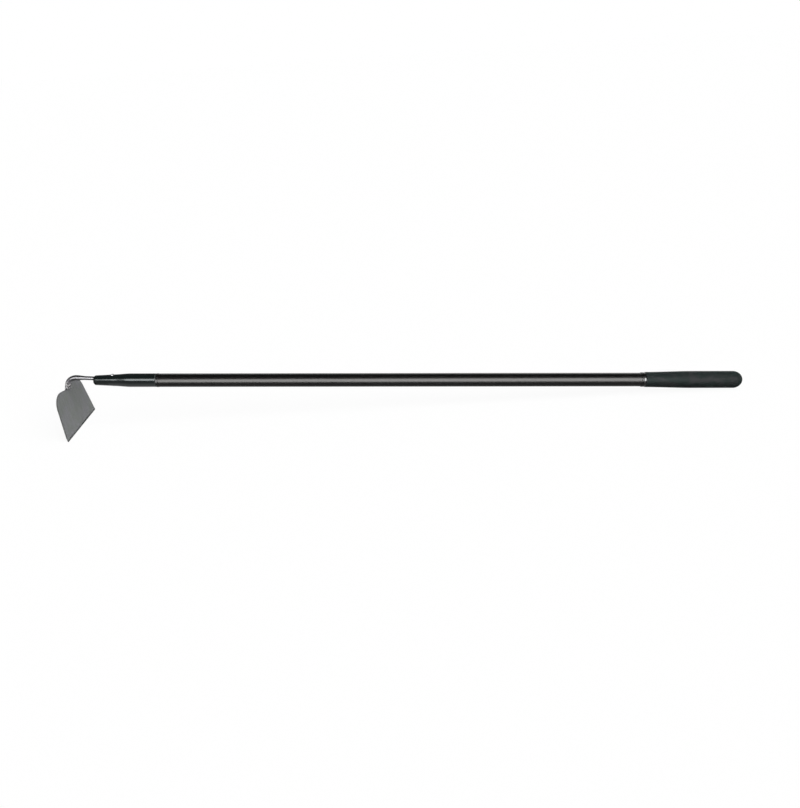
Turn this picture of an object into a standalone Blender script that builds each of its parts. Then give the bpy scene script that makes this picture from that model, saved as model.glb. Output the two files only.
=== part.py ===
"""Garden hoe with a welded steel head, a black fibreglass handle and a cushion grip.

All lengths are in metres. The pieces are modelled in the handle's own frame: the origin is on the
handle's axis at the tip of the nose sleeve, +X runs along the handle to the grip, and +Z points away
from the blade's cutting edge. The blade has a frame of its own at the middle of its cutting edge, with
+X square to its inner face and +Z up the blade. At the end the whole hoe is leaned over and set on the
floor, where it rests on the cutting edge and on the underside of the grip.
"""

import math

import bmesh
import bpy

MM = 0.001
DEGREE = math.pi / 180.0

# Clearance between pieces that touch
SEAT_GAP = 0.3 * MM

# Handle
HANDLE_LENGTH = 1359.6 * MM
TUBE_DIAMETER = 28.6 * MM
TUBE_WALL = 2.9 * MM

# Nose sleeve
NOSE_LENGTH = 131.6 * MM
NOSE_TIP_DIAMETER = 20.3 * MM
NOSE_TIP_ROUNDING = 4.8 * MM
NOSE_CONE_LENGTH = 48.0 * MM
NOSE_CONE_DIAMETER = 24.9 * MM
NOSE_SHOULDER_LENGTH = 29.0 * MM
NOSE_REAR_ROUNDING = 0.6 * MM
SPIGOT_LENGTH = 44.0 * MM
SPIGOT_LEAD_IN = 1.5 * MM
GLUE_GROOVE_DEPTH = 0.8 * MM
GLUE_GROOVE_WIDTH = 3.0 * MM
GLUE_GROOVE_PLACES = (0.3, 0.6)
SLEEVE_CORE_DIAMETER = 15.0 * MM
SLEEVE_CORE_DEPTH = 76.0 * MM

# Ring between the nose sleeve and the tube
JOINT_RING_WIDTH = 4.4 * MM
JOINT_RING_STAND_OUT = 0.35 * MM
JOINT_RING_ROUNDING = 0.5 * MM

# Rivet through the nose sleeve and the tang
RIVET_STATION = 40.2 * MM
RIVET_SHANK_DIAMETER = 4.0 * MM
RIVET_HEAD_DIAMETER = 6.6 * MM
RIVET_HEAD_HEIGHT = 2.6 * MM
RIVET_TAIL_HEIGHT = 1.5 * MM
SPOT_FACE_DEPTH = 0.7 * MM
SPOT_FACE_MARGIN = 0.5 * MM

# Gooseneck rod, from the tang's end to the foot on the blade
TANG_DEPTH = 112.0 * MM
TANG_OFFSET = 4.3 * MM
TANG_SLOPE = 2.6 * DEGREE
TANG_END_DIAMETER = 6.8 * MM
TANG_DIAMETER_AT_NOSE = 8.2 * MM
ROD_DIAMETER = 10.9 * MM
NOSE_TO_TAPER = 16.0 * MM
NOSE_TO_BEND = 35.3 * MM
NECK_BEND_RADIUS = 22.0 * MM
NECK_STRAIGHT = 8.4 * MM
NECK_LEAN = 11.8 * DEGREE
FOOT_BEND_RADIUS = 30.0 * MM
FOOT_LAP = 6.4 * MM
FOOT_LENGTH = 11.0 * MM
FOOT_TIP_LENGTH = 5.0 * MM
FOOT_TIP_DIAMETER = 6.0 * MM
FOOT_CHAMFER_STAND_OUT = 0.6 * MM
FOOT_CHAMFER_ANGLE = 54.0 * DEGREE

# Blade
BLADE_WIDTH = 156.6 * MM
BLADE_HEIGHT = 93.9 * MM
BLADE_THICKNESS = 2.0 * MM
BLADE_LEAN = 10.4 * DEGREE
BLADE_SIDE_TAPER = 9.6 * DEGREE
BLADE_SHOULDER_RADIUS = 30.0 * MM
BLADE_CORNER_RADIUS = 2.2 * MM
VALLEY_DEPTH = 5.2 * MM
EDGE_BEVEL_HEIGHT = 8.0 * MM
EDGE_LAND = 0.8 * MM

# Weld beads: one round the front of the foot, two along its sides on the blade's back
FRONT_BEAD_DIAMETER = 6.8 * MM
FRONT_BEAD_SINK = 1.0 * MM
FRONT_BEAD_RISE = 2.0 * MM
FRONT_BEAD_WRAP = 104.0 * DEGREE
BACK_BEAD_DIAMETER = 4.4 * MM
BACK_BEAD_LENGTH = 17.0 * MM
BACK_BEAD_STAND_OUT = 0.7 * MM
BACK_BEAD_SINK = 1.3 * MM
BEAD_RIPPLE_PITCH = 2.5 * MM
BEAD_RIPPLE_DEPTH = 0.28 * MM
BEAD_END_BLUNTNESS = 0.1

# Cushion grip and its collar
GRIP_LENGTH = 204.1 * MM
GRIP_MOUTH_DIAMETER = 31.7 * MM
GRIP_BODY_DIAMETER = 35.6 * MM
GRIP_SWELL_LENGTH = 100.0 * MM
GRIP_DOME_LENGTH = 19.5 * MM
GRIP_MOUTH_ROUNDING = 0.8 * MM
COLLAR_WIDTH = 8.0 * MM
COLLAR_DIAMETER = 30.6 * MM
COLLAR_ROUNDING = 0.7 * MM

# Plug in the tube's end
PLUG_FLANGE_THICKNESS = 2.5 * MM
PLUG_FLANGE_ROUNDING = 0.8 * MM
PLUG_SPIGOT_LENGTH = 18.0 * MM
PLUG_SPIGOT_WALL = 2.0 * MM

# Fineness of the facets
TURN_STEPS = 40
RIVET_TURN_STEPS = 24
SHOULDER_STEPS = 8
SWELL_STEPS = 12
DOME_STEPS = 10
RIVET_DOME_STEPS = 5
VALLEY_STEPS = 8
TAPER_STEPS = 5
RIPPLE_STEPS = 4
ROD_BEVEL_RESOLUTION = 8
BEAD_BEVEL_RESOLUTION = 4
CUTTER_SIDES = 32
BEND_STEP = 7.0 * DEGREE
OUTLINE_STEP = 9.0 * DEGREE
EDGE_STEP = 30.0 * DEGREE

# Measures that follow from the ones above
TUBE_RADIUS = TUBE_DIAMETER / 2
TUBE_BORE_RADIUS = TUBE_RADIUS - TUBE_WALL
INSERT_RADIUS = TUBE_BORE_RADIUS - SEAT_GAP
SLIP_ON_RADIUS = TUBE_RADIUS + SEAT_GAP
JOINT_RING_START = NOSE_LENGTH + SEAT_GAP
TUBE_START = JOINT_RING_START + JOINT_RING_WIDTH + SEAT_GAP
SPIGOT_END = TUBE_START + SPIGOT_LENGTH
TUBE_END = HANDLE_LENGTH - GRIP_DOME_LENGTH
GRIP_START = HANDLE_LENGTH - GRIP_LENGTH
COLLAR_START = GRIP_START - SEAT_GAP - COLLAR_WIDTH
PLUG_FLANGE_START = TUBE_END + SEAT_GAP
PLUG_FLANGE_END = PLUG_FLANGE_START + PLUG_FLANGE_THICKNESS
NECK_TURN = math.pi / 2 - NECK_LEAN + TANG_SLOPE
FOOT_TURN = NECK_LEAN + BLADE_LEAN
VALLEY_HEIGHT = BLADE_HEIGHT - VALLEY_DEPTH
FOOT_SEAT = VALLEY_HEIGHT + SEAT_GAP
WELD_MERGE = 0.001 * MM

STEEL_GREY = (0.175, 0.180, 0.178, 1.0)
ROD_GREY = (0.260, 0.260, 0.262, 1.0)
WELD_GREY = (0.330, 0.335, 0.335, 1.0)
BRIGHT_GREY = (0.560, 0.570, 0.580, 1.0)
NOSE_BLACK = (0.012, 0.016, 0.016, 1.0)
GLOSS_BLACK = (0.006, 0.006, 0.006, 1.0)
FOAM_BLACK = (0.030, 0.036, 0.037, 1.0)
PLUG_BLACK = (0.020, 0.020, 0.020, 1.0)

for leftover in list(bpy.data.objects):
    bpy.data.objects.remove(leftover)
PARTS = bpy.data.collections.new("garden_hoe")
CUTTERS = bpy.data.collections.new("cutters")
for group in (PARTS, CUTTERS):
    bpy.context.scene.collection.children.link(group)


def add_object(name, data, parent, group, location=(0.0, 0.0, 0.0), rotation=(0.0, 0.0, 0.0)):
    """Put an object with the given mesh or curve, or an empty, under its parent frame."""
    shape = bpy.data.objects.new(name, data)
    shape.location = location
    shape.rotation_euler = rotation
    shape.parent = parent
    group.objects.link(shape)
    if group is CUTTERS:
        shape.hide_render = True
        shape.display_type = "WIRE"
    return shape


def finish(shape, name, colour, roughness, metallic=0.0, sharp_angle=35.0 * DEGREE):
    """Shade a piece smooth between its real edges and give it a material of its own."""
    shape.data.shade_smooth()
    shape.data.set_sharp_from_angle(angle=sharp_angle)
    coat = bpy.data.materials.new(name)
    coat.use_nodes = True
    shader = coat.node_tree.nodes["Principled BSDF"]
    shader.inputs["Base Color"].default_value = colour
    shader.inputs["Roughness"].default_value = roughness
    shader.inputs["Metallic"].default_value = metallic
    coat.diffuse_color = colour
    shape.data.materials.clear()
    shape.data.materials.append(coat)
    return shape


def as_mesh(source):
    """Put a welded mesh in the place of a curve or of an object with modifiers."""
    bpy.context.view_layer.update()
    evaluated = source.evaluated_get(bpy.context.evaluated_depsgraph_get())
    mesh = bpy.data.meshes.new_from_object(evaluated)
    build = bmesh.new()
    build.from_mesh(mesh)
    bmesh.ops.remove_doubles(build, verts=build.verts, dist=WELD_MERGE)
    bmesh.ops.recalc_face_normals(build, faces=build.faces)
    build.to_mesh(mesh)
    build.free()
    name = source.name
    parent = source.parent
    group = source.users_collection[0]
    location = tuple(source.location)
    rotation = tuple(source.rotation_euler)
    bpy.data.objects.remove(source)
    return add_object(name, mesh, parent, group, location, rotation)


def cut(target, cutter):
    """Take the cutter's volume out of the target."""
    step = target.modifiers.new("cut_" + cutter.name, "BOOLEAN")
    step.operation = "DIFFERENCE"
    step.solver = "EXACT"
    step.object = cutter


def turned(name, profile, parent, steps=TURN_STEPS, closed=False, upright=False):
    """Turned piece about its frame's X axis, or about the Z axis when it is upright.

    The profile holds (station, radius) pairs. Its outer side runs towards higher stations, and its
    bore runs back. An open profile starts and ends on the axis.
    """
    mesh = bpy.data.meshes.new(name)
    corners = [(radius, 0.0, station) for station, radius in reversed(profile)]
    sides = [(i, i + 1) for i in range(len(corners) - 1)]
    if closed:
        sides.append((len(corners) - 1, 0))
    mesh.from_pydata(corners, sides, [])
    tip_over = 0.0 if upright else math.pi / 2
    shape = add_object(name, mesh, parent, PARTS, rotation=(0.0, tip_over, 0.0))
    screw = shape.modifiers.new("turn", "SCREW")
    screw.axis = "Z"
    screw.angle = 2 * math.pi
    screw.steps = steps
    screw.render_steps = steps
    screw.use_merge_vertices = True
    screw.merge_threshold = WELD_MERGE
    return as_mesh(shape)


def box(name, low, high, parent, pivot=(0.0, 0.0, 0.0), pitch=0.0):
    """Box cutter between two corners, which are measured from its pivot before it is pitched about Y."""
    mesh = bpy.data.meshes.new(name)
    build = bmesh.new()
    bmesh.ops.create_cube(build, size=1.0)
    for vertex in build.verts:
        for axis in range(3):
            vertex.co[axis] = low[axis] if vertex.co[axis] < 0 else high[axis]
    build.to_mesh(mesh)
    build.free()
    return add_object(name, mesh, parent, CUTTERS, pivot, (0.0, pitch, 0.0))


def drill(name, radius, low, high, parent):
    """Round cutter along its frame's Z axis, between two heights."""
    mesh = bpy.data.meshes.new(name)
    build = bmesh.new()
    bmesh.ops.create_cone(build, cap_ends=True, segments=CUTTER_SIDES, radius1=radius, radius2=radius,
                          depth=high - low)
    build.to_mesh(mesh)
    build.free()
    return add_object(name, mesh, parent, CUTTERS, (0.0, 0.0, (low + high) / 2))


def swept(name, points, resolution, parent, group=PARTS):
    """Round bar along (x, y, z, radius) points, as a closed mesh."""
    curve = bpy.data.curves.new(name, "CURVE")
    curve.dimensions = "3D"
    curve.bevel_depth = 1.0
    curve.bevel_resolution = resolution
    curve.use_fill_caps = True
    spline = curve.splines.new("POLY")
    spline.points.add(len(points) - 1)
    for knot, (x, y, z, radius) in zip(spline.points, points):
        knot.co = (x, y, z, 1.0)
        knot.radius = radius
    return as_mesh(add_object(name, curve, parent, group))


def plate(name, outline, front, back, parent, group=PARTS, lift=0.0):
    """Flat plate of an (across, up) outline, between two offsets from the blade's inner face."""
    curve = bpy.data.curves.new(name, "CURVE")
    curve.dimensions = "2D"
    curve.fill_mode = "BOTH"
    curve.extrude = (front - back) / 2
    spline = curve.splines.new("POLY")
    spline.points.add(len(outline) - 1)
    for knot, (across, up) in zip(spline.points, outline):
        knot.co = (across, up, 0.0, 1.0)
    spline.use_cyclic_u = True
    middle = ((front + back) / 2, 0.0, lift)
    return as_mesh(add_object(name, curve, parent, group, middle, (math.pi / 2, 0.0, math.pi / 2)))


def arc(centre, radius, start, end, step=OUTLINE_STEP):
    """Points of an arc in a plane, both ends included."""
    count = max(2, math.ceil(abs(end - start) / step))
    angles = [start + (end - start) * i / count for i in range(count + 1)]
    return [(centre[0] + radius * math.cos(angle), centre[1] + radius * math.sin(angle)) for angle in angles]


def front_edge(station, side, rounding, step=EDGE_STEP):
    """Rounded edge where a profile rises from the face at a station to its outer side."""
    return arc((station + rounding, side - rounding), rounding, math.pi, math.pi / 2, step)


def rear_edge(station, side, rounding, step=EDGE_STEP):
    """Rounded edge where a profile falls from its outer side to the face at a station."""
    return arc((station - rounding, side - rounding), rounding, math.pi / 2, 0.0, step)


def dome(base, height, radius, steps):
    """Quarter of an ellipse, from the side at its base to the axis."""
    angles = [math.pi / 2 * i / steps for i in range(steps)]
    rim = [(base + height * math.sin(angle), radius * math.cos(angle)) for angle in angles]
    return rim + [(base + height, 0.0)]


def ease(share):
    """Smooth step from 0 to 1."""
    share = min(max(share, 0.0), 1.0)
    return share * share * (3.0 - 2.0 * share)


def nose_radius(station):
    """Outer radius of the nose sleeve: a cone that eases into the tube's size."""
    tip = NOSE_TIP_DIAMETER / 2
    cone = NOSE_CONE_DIAMETER / 2
    if station <= NOSE_CONE_LENGTH:
        return tip + (cone - tip) * station / NOSE_CONE_LENGTH
    return cone + (TUBE_RADIUS - cone) * ease((station - NOSE_CONE_LENGTH) / NOSE_SHOULDER_LENGTH)


def nose_profile():
    """Section of the nose sleeve with its spigot and core, before the tang's bore is cut."""
    profile = [(0.0, 0.0)]
    profile += front_edge(0.0, nose_radius(NOSE_TIP_ROUNDING), NOSE_TIP_ROUNDING, EDGE_STEP / 2)
    for i in range(SHOULDER_STEPS + 1):
        station = NOSE_CONE_LENGTH + NOSE_SHOULDER_LENGTH * i / SHOULDER_STEPS
        profile.append((station, nose_radius(station)))
    profile += rear_edge(NOSE_LENGTH, TUBE_RADIUS, NOSE_REAR_ROUNDING)
    profile.append((NOSE_LENGTH, INSERT_RADIUS))
    groove_floor = INSERT_RADIUS - GLUE_GROOVE_DEPTH
    for share in GLUE_GROOVE_PLACES:
        start = TUBE_START + SPIGOT_LENGTH * share
        end = start + GLUE_GROOVE_WIDTH
        profile += [(start, INSERT_RADIUS), (start, groove_floor), (end, groove_floor), (end, INSERT_RADIUS)]
    profile += [(SPIGOT_END - SPIGOT_LEAD_IN, INSERT_RADIUS), (SPIGOT_END, INSERT_RADIUS - SPIGOT_LEAD_IN)]
    core_radius = SLEEVE_CORE_DIAMETER / 2
    core_floor = SPIGOT_END - SLEEVE_CORE_DEPTH
    return profile + [(SPIGOT_END, core_radius), (core_floor, core_radius), (core_floor, 0.0)]


def grip_side():
    """Outer side of the cushion grip, from its mouth to the end of its dome."""
    mouth = GRIP_MOUTH_DIAMETER / 2
    body = GRIP_BODY_DIAMETER / 2
    side = front_edge(GRIP_START, mouth, GRIP_MOUTH_ROUNDING)
    for i in range(1, SWELL_STEPS + 1):
        share = i / SWELL_STEPS
        side.append((GRIP_START + GRIP_SWELL_LENGTH * share, mouth + (body - mouth) * ease(share)))
    return side + dome(TUBE_END, GRIP_DOME_LENGTH, body, DOME_STEPS)


def rounded_ring(start, end, bore, outer, rounding):
    """Section of a ring whose two outer edges are rounded."""
    return front_edge(start, outer, rounding) + rear_edge(end, outer, rounding) + [(end, bore), (start, bore)]


def neck_corners():
    """Corners of the gooseneck's centre line as (x, z): tang end, bend, foot bend, foot end."""
    slope = math.tan(TANG_SLOPE)
    neck_reach = NECK_BEND_RADIUS * math.tan(NECK_TURN / 2)
    foot_reach = FOOT_BEND_RADIUS * math.tan(FOOT_TURN / 2)
    drop = neck_reach + NECK_STRAIGHT + foot_reach
    foot = foot_reach + FOOT_LENGTH
    bend_x = -NOSE_TO_BEND - neck_reach * math.cos(TANG_SLOPE)
    bend = (bend_x, TANG_OFFSET - bend_x * slope)
    foot_bend = (bend[0] - drop * math.sin(NECK_LEAN), bend[1] - drop * math.cos(NECK_LEAN))
    foot_end = (foot_bend[0] + foot * math.sin(BLADE_LEAN), foot_bend[1] - foot * math.cos(BLADE_LEAN))
    return [(TANG_DEPTH, TANG_OFFSET - TANG_DEPTH * slope), bend, foot_bend, foot_end]


def edge_middle():
    """Middle of the cutting edge on the blade's inner face, as (x, z), below the foot bend."""
    foot_bend = neck_corners()[2]
    down = VALLEY_HEIGHT - FOOT_LAP
    x = foot_bend[0] + down * math.sin(BLADE_LEAN) + BLADE_THICKNESS * math.cos(BLADE_LEAN)
    z = foot_bend[1] - down * math.cos(BLADE_LEAN) + BLADE_THICKNESS * math.sin(BLADE_LEAN)
    return x, z


def heading(start, end):
    """Unit vector from one point of a plane to another."""
    length = math.dist(start, end)
    return (end[0] - start[0]) / length, (end[1] - start[1]) / length


def fillet(before, corner, after, radius):
    """Points of the arc that rounds a corner of a centre line."""
    back = heading(corner, before)
    ahead = heading(corner, after)
    turn = math.pi - math.acos(back[0] * ahead[0] + back[1] * ahead[1])
    middle = heading((0.0, 0.0), (back[0] + ahead[0], back[1] + ahead[1]))
    reach = radius * math.tan(turn / 2)
    hub_distance = radius / math.cos(turn / 2)
    hub = (corner[0] + middle[0] * hub_distance, corner[1] + middle[1] * hub_distance)
    first = (corner[0] + back[0] * reach, corner[1] + back[1] * reach)
    start = math.atan2(first[1] - hub[1], first[0] - hub[0])
    side = back[0] * ahead[1] - back[1] * ahead[0]
    return arc(hub, radius, start, start - math.copysign(turn, side), BEND_STEP)


def neck_path(growth=0.0):
    """Centre line of the gooseneck as (x, y, z, radius) points, swollen all round by the growth."""
    tang_end, bend, foot_bend, foot_end = neck_corners()
    foot_up = heading(foot_end, foot_bend)
    tip_start = (foot_end[0] + foot_up[0] * FOOT_TIP_LENGTH, foot_end[1] + foot_up[1] * FOOT_TIP_LENGTH)
    slope = math.tan(TANG_SLOPE)
    line = [(tang_end[0] + growth, tang_end[1] - growth * slope, TANG_END_DIAMETER)]
    line.append((0.0, TANG_OFFSET, TANG_DIAMETER_AT_NOSE))
    for i in range(TAPER_STEPS):
        share = i / TAPER_STEPS
        out = NOSE_TO_TAPER + (NOSE_TO_BEND - NOSE_TO_TAPER) * share
        diameter = TANG_DIAMETER_AT_NOSE + (ROD_DIAMETER - TANG_DIAMETER_AT_NOSE) * ease(share)
        line.append((-out, TANG_OFFSET + out * slope, diameter))
    bends = fillet(tang_end, bend, foot_bend, NECK_BEND_RADIUS)
    bends += fillet(bend, foot_bend, foot_end, FOOT_BEND_RADIUS)
    line += [(x, z, ROD_DIAMETER) for x, z in bends + [tip_start]]
    line.append((foot_end[0], foot_end[1], FOOT_TIP_DIAMETER))
    return [(x, 0.0, z, diameter / 2 + growth) for x, z, diameter in line]


def trim_foot(rod, growth=0.0):
    """Cut the foot to lap the blade's back, to sit on its top edge, and to slope away above it."""
    reach = ROD_DIAMETER * 2
    low = (-BLADE_THICKNESS - SEAT_GAP + growth, -reach, -BLADE_HEIGHT)
    lap = box(rod.name + "_lap", low, (reach, reach, FOOT_SEAT - growth), BLADE)
    pivot = (FOOT_CHAMFER_STAND_OUT + growth * math.cos(FOOT_CHAMFER_ANGLE), 0.0,
             FOOT_SEAT - growth * math.sin(FOOT_CHAMFER_ANGLE))
    slope = box(rod.name + "_chamfer", (0.0, -reach, -FOOT_CHAMFER_STAND_OUT),
                (reach, reach, ROD_DIAMETER * 1.5), BLADE, pivot, FOOT_CHAMFER_ANGLE)
    cut(rod, lap)
    cut(rod, slope)


def blade_outline():
    """Blade outline as (across, up) points, round from one corner: the valley joins the two shoulders."""
    half = BLADE_WIDTH / 2
    corner = BLADE_CORNER_RADIUS
    corner_reach = corner * math.tan((math.pi / 2 + BLADE_SIDE_TAPER) / 2)
    side = arc((half - corner_reach, corner), corner, -math.pi / 2, BLADE_SIDE_TAPER, EDGE_STEP)
    shoulder = BLADE_SHOULDER_RADIUS
    shoulder_reach = shoulder * math.tan((math.pi / 2 - BLADE_SIDE_TAPER) / 2)
    crown = half - BLADE_HEIGHT * math.tan(BLADE_SIDE_TAPER)
    brow = crown - shoulder_reach
    side += arc((brow, BLADE_HEIGHT - shoulder), shoulder, BLADE_SIDE_TAPER, math.pi / 2)
    for i in range(1, VALLEY_STEPS):
        share = i / VALLEY_STEPS
        side.append((brow * (1 - share), BLADE_HEIGHT - VALLEY_DEPTH * (1 - math.cos(math.pi * share)) / 2))
    mirrored = [(-across, up) for across, up in reversed(side)]
    return side + [(0.0, VALLEY_HEIGHT)] + mirrored


def bead_path(place, length, diameter):
    """Points of a weld bead with ripples and rounded ends, where place(share) gives its centre line."""
    ripples = max(2, round(length / BEAD_RIPPLE_PITCH))
    count = ripples * RIPPLE_STEPS
    path = []
    for i in range(count + 1):
        share = i / count
        ripple = (1 + math.cos(2 * math.pi * ripples * share)) / 2
        from_end = min(share, 1 - share) * length
        fullness = BEAD_END_BLUNTNESS + (1 - BEAD_END_BLUNTNESS) * from_end / (diameter / 2)
        rounding = math.sqrt(min(1.0, fullness))
        path.append((*place(share), (diameter / 2 - BEAD_RIPPLE_DEPTH * ripple) * rounding))
    return path


def make_blade():
    """Plate with a shouldered outline and a cutting edge sharpened from the back."""
    blade = plate("blade", blade_outline(), 0.0, -BLADE_THICKNESS, BLADE)
    bevel_angle = math.atan2(BLADE_THICKNESS - EDGE_LAND, EDGE_BEVEL_HEIGHT)
    high = (0.0, BLADE_WIDTH, EDGE_BEVEL_HEIGHT * 2)
    sharpening = box("edge_bevel", (-EDGE_BEVEL_HEIGHT * 2, -BLADE_WIDTH, -EDGE_BEVEL_HEIGHT), high,
                     BLADE, (-EDGE_LAND, 0.0, 0.0), -bevel_angle)
    cut(blade, sharpening)
    return finish(blade, "blade_steel", STEEL_GREY, 0.55, 0.6)


def make_gooseneck():
    """Rod with the tang, the bend and the foot that laps the blade's back."""
    rod = swept("gooseneck", neck_path(), ROD_BEVEL_RESOLUTION, HANDLE)
    trim_foot(rod)
    cut(rod, RIVET_HOLE)
    return finish(rod, "rod_steel", ROD_GREY, 0.35, 0.8)


def make_weld(name, place, length, diameter):
    """Weld bead that fills the corner between the rod and the plate."""
    bead = swept(name, bead_path(place, length, diameter), BEAD_BEVEL_RESOLUTION, BLADE)
    cut(bead, GROWN_NECK)
    cut(bead, GROWN_PLATE)
    return finish(bead, name + "_metal", WELD_GREY, 0.4, 0.8, 50.0 * DEGREE)


def make_front_weld():
    """Bead round the front and the sides of the foot, where it meets the blade's top edge."""
    height = FOOT_SEAT + FRONT_BEAD_RISE
    rod_middle = -BLADE_THICKNESS + (height - VALLEY_HEIGHT + FOOT_LAP) * math.tan(FOOT_TURN)
    radius = ROD_DIAMETER / 2 - FRONT_BEAD_SINK

    def place(share):
        angle = FRONT_BEAD_WRAP * (2 * share - 1)
        return rod_middle + radius * math.cos(angle), radius * math.sin(angle), height

    return make_weld("weld_front", place, 2 * FRONT_BEAD_WRAP * radius, FRONT_BEAD_DIAMETER)


def make_back_weld(name, side):
    """Bead along one side of the foot on the blade's back."""
    foot_end_height = VALLEY_HEIGHT - FOOT_LAP - FOOT_BEND_RADIUS * math.tan(FOOT_TURN / 2) - FOOT_LENGTH
    across = side * (ROD_DIAMETER / 2 + BACK_BEAD_DIAMETER / 2 - BACK_BEAD_SINK)

    def place(share):
        return -BLADE_THICKNESS - BACK_BEAD_STAND_OUT, across, foot_end_height + FOOT_TIP_LENGTH + BACK_BEAD_LENGTH * share

    return make_weld(name, place, BACK_BEAD_LENGTH, BACK_BEAD_DIAMETER)


def make_nose_sleeve():
    """Moulded sleeve that holds the tang and plugs into the tube."""
    sleeve = turned("nose_sleeve", nose_profile(), HANDLE)
    cut(sleeve, GROWN_NECK)
    cut(sleeve, RIVET_HOLE)
    for spot_face in SPOT_FACES:
        cut(sleeve, spot_face)
    return finish(sleeve, "nose_plastic", NOSE_BLACK, 0.35)


def make_nose_rivet():
    """Rivet with a domed head on top and a flatter formed head below."""
    shank = RIVET_SHANK_DIAMETER / 2
    head = RIVET_HEAD_DIAMETER / 2
    seat = RIVET_SEAT + SEAT_GAP
    tail = [(-station, radius) for station, radius in reversed(dome(seat, RIVET_TAIL_HEIGHT, head, RIVET_DOME_STEPS))]
    profile = tail + [(-seat, shank), (seat, shank)] + dome(seat, RIVET_HEAD_HEIGHT, head, RIVET_DOME_STEPS)
    rivet = turned("nose_rivet", profile, RIVET, RIVET_TURN_STEPS, upright=True)
    return finish(rivet, "rivet_steel", BRIGHT_GREY, 0.25, 1.0)


def make_joint_ring():
    """Thin dark ring on the spigot, between the nose sleeve and the tube."""
    profile = rounded_ring(JOINT_RING_START, JOINT_RING_START + JOINT_RING_WIDTH, TUBE_BORE_RADIUS,
                           TUBE_RADIUS + JOINT_RING_STAND_OUT, JOINT_RING_ROUNDING)
    ring = turned("joint_ring", profile, HANDLE, closed=True)
    return finish(ring, "ring_black", GLOSS_BLACK, 0.25)


def make_handle_tube():
    """Fibreglass tube, open at both ends."""
    profile = [(TUBE_START, TUBE_RADIUS), (TUBE_END, TUBE_RADIUS)]
    profile += [(TUBE_END, TUBE_BORE_RADIUS), (TUBE_START, TUBE_BORE_RADIUS)]
    tube = turned("handle_tube", profile, HANDLE, closed=True)
    return finish(tube, "fibreglass", GLOSS_BLACK, 0.2)


def make_grip_collar():
    """Glossy ring on the tube at the mouth of the cushion grip."""
    profile = rounded_ring(COLLAR_START, COLLAR_START + COLLAR_WIDTH, SLIP_ON_RADIUS, COLLAR_DIAMETER / 2,
                           COLLAR_ROUNDING)
    collar = turned("grip_collar", profile, HANDLE, closed=True)
    return finish(collar, "collar_plastic", GLOSS_BLACK, 0.15)


def make_cushion_grip():
    """Foam sleeve with a closed, domed end."""
    cavity_end = PLUG_FLANGE_END + SEAT_GAP
    profile = [(cavity_end, 0.0), (cavity_end, SLIP_ON_RADIUS), (GRIP_START, SLIP_ON_RADIUS)] + grip_side()
    grip = turned("cushion_grip", profile, HANDLE)
    return finish(grip, "foam", FOAM_BLACK, 0.8)


def make_tube_end_plug():
    """Cup-shaped plug that closes the tube's end under the grip."""
    spigot_start = PLUG_FLANGE_START - PLUG_SPIGOT_LENGTH
    inner = INSERT_RADIUS - PLUG_SPIGOT_WALL
    profile = [(PLUG_FLANGE_START, 0.0), (PLUG_FLANGE_START, inner), (spigot_start, inner)]
    profile += [(spigot_start, INSERT_RADIUS), (PLUG_FLANGE_START, INSERT_RADIUS)]
    profile += [(PLUG_FLANGE_START, TUBE_RADIUS)]
    profile += rear_edge(PLUG_FLANGE_END, TUBE_RADIUS, PLUG_FLANGE_ROUNDING)
    profile += [(PLUG_FLANGE_END, 0.0)]
    plug = turned("tube_end_plug", profile, HANDLE)
    return finish(plug, "plug_plastic", PLUG_BLACK, 0.5)


def resting_lean():
    """Angle at which the cutting edge and the first point of the grip to come down both meet the floor."""
    x, z = edge_middle()
    x -= EDGE_LAND * math.cos(BLADE_LEAN)
    z -= EDGE_LAND * math.sin(BLADE_LEAN)
    return min(math.atan2(-z - radius, station - x) for station, radius in grip_side())


def set_on_floor(root, pieces):
    """Move the whole hoe so that its box stands on the floor, centred on the origin."""
    bpy.context.view_layer.update()
    view = bpy.context.evaluated_depsgraph_get()
    corners = []
    for piece in pieces:
        evaluated = piece.evaluated_get(view)
        corners += [evaluated.matrix_world @ vertex.co for vertex in evaluated.data.vertices]
    low = [min(corner[axis] for corner in corners) for axis in range(3)]
    high = [max(corner[axis] for corner in corners) for axis in range(3)]
    root.location = (-(low[0] + high[0]) / 2, -(low[1] + high[1]) / 2, -low[2])


# Frames
HANDLE = add_object("hoe_at_rest", None, None, PARTS, rotation=(0.0, resting_lean(), 0.0))
EDGE_X, EDGE_Z = edge_middle()
BLADE = add_object("blade_frame", None, HANDLE, PARTS, (EDGE_X, 0.0, EDGE_Z), (0.0, -BLADE_LEAN, 0.0))
RIVET = add_object("rivet_frame", None, HANDLE, PARTS, (RIVET_STATION, 0.0, 0.0))

# Cutters that more than one piece shares
RIVET_SEAT = nose_radius(RIVET_STATION) - SPOT_FACE_DEPTH
RIVET_CLEAR = RIVET_SEAT + RIVET_HEAD_HEIGHT * 2
RIVET_HOLE = drill("rivet_hole", RIVET_SHANK_DIAMETER / 2 + SEAT_GAP, -RIVET_CLEAR, RIVET_CLEAR, RIVET)
SPOT_FACE_RADIUS = RIVET_HEAD_DIAMETER / 2 + SPOT_FACE_MARGIN
SPOT_FACES = [
    drill("spot_face_top", SPOT_FACE_RADIUS, RIVET_SEAT, RIVET_CLEAR, RIVET),
    drill("spot_face_bottom", SPOT_FACE_RADIUS, -RIVET_CLEAR, -RIVET_SEAT, RIVET),
]
GROWN_NECK = swept("grown_neck", neck_path(SEAT_GAP), ROD_BEVEL_RESOLUTION, HANDLE, CUTTERS)
trim_foot(GROWN_NECK, SEAT_GAP)
GROWN_PLATE = plate("grown_plate", blade_outline(), SEAT_GAP, -BLADE_THICKNESS - SEAT_GAP, BLADE, CUTTERS, SEAT_GAP)

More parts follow.
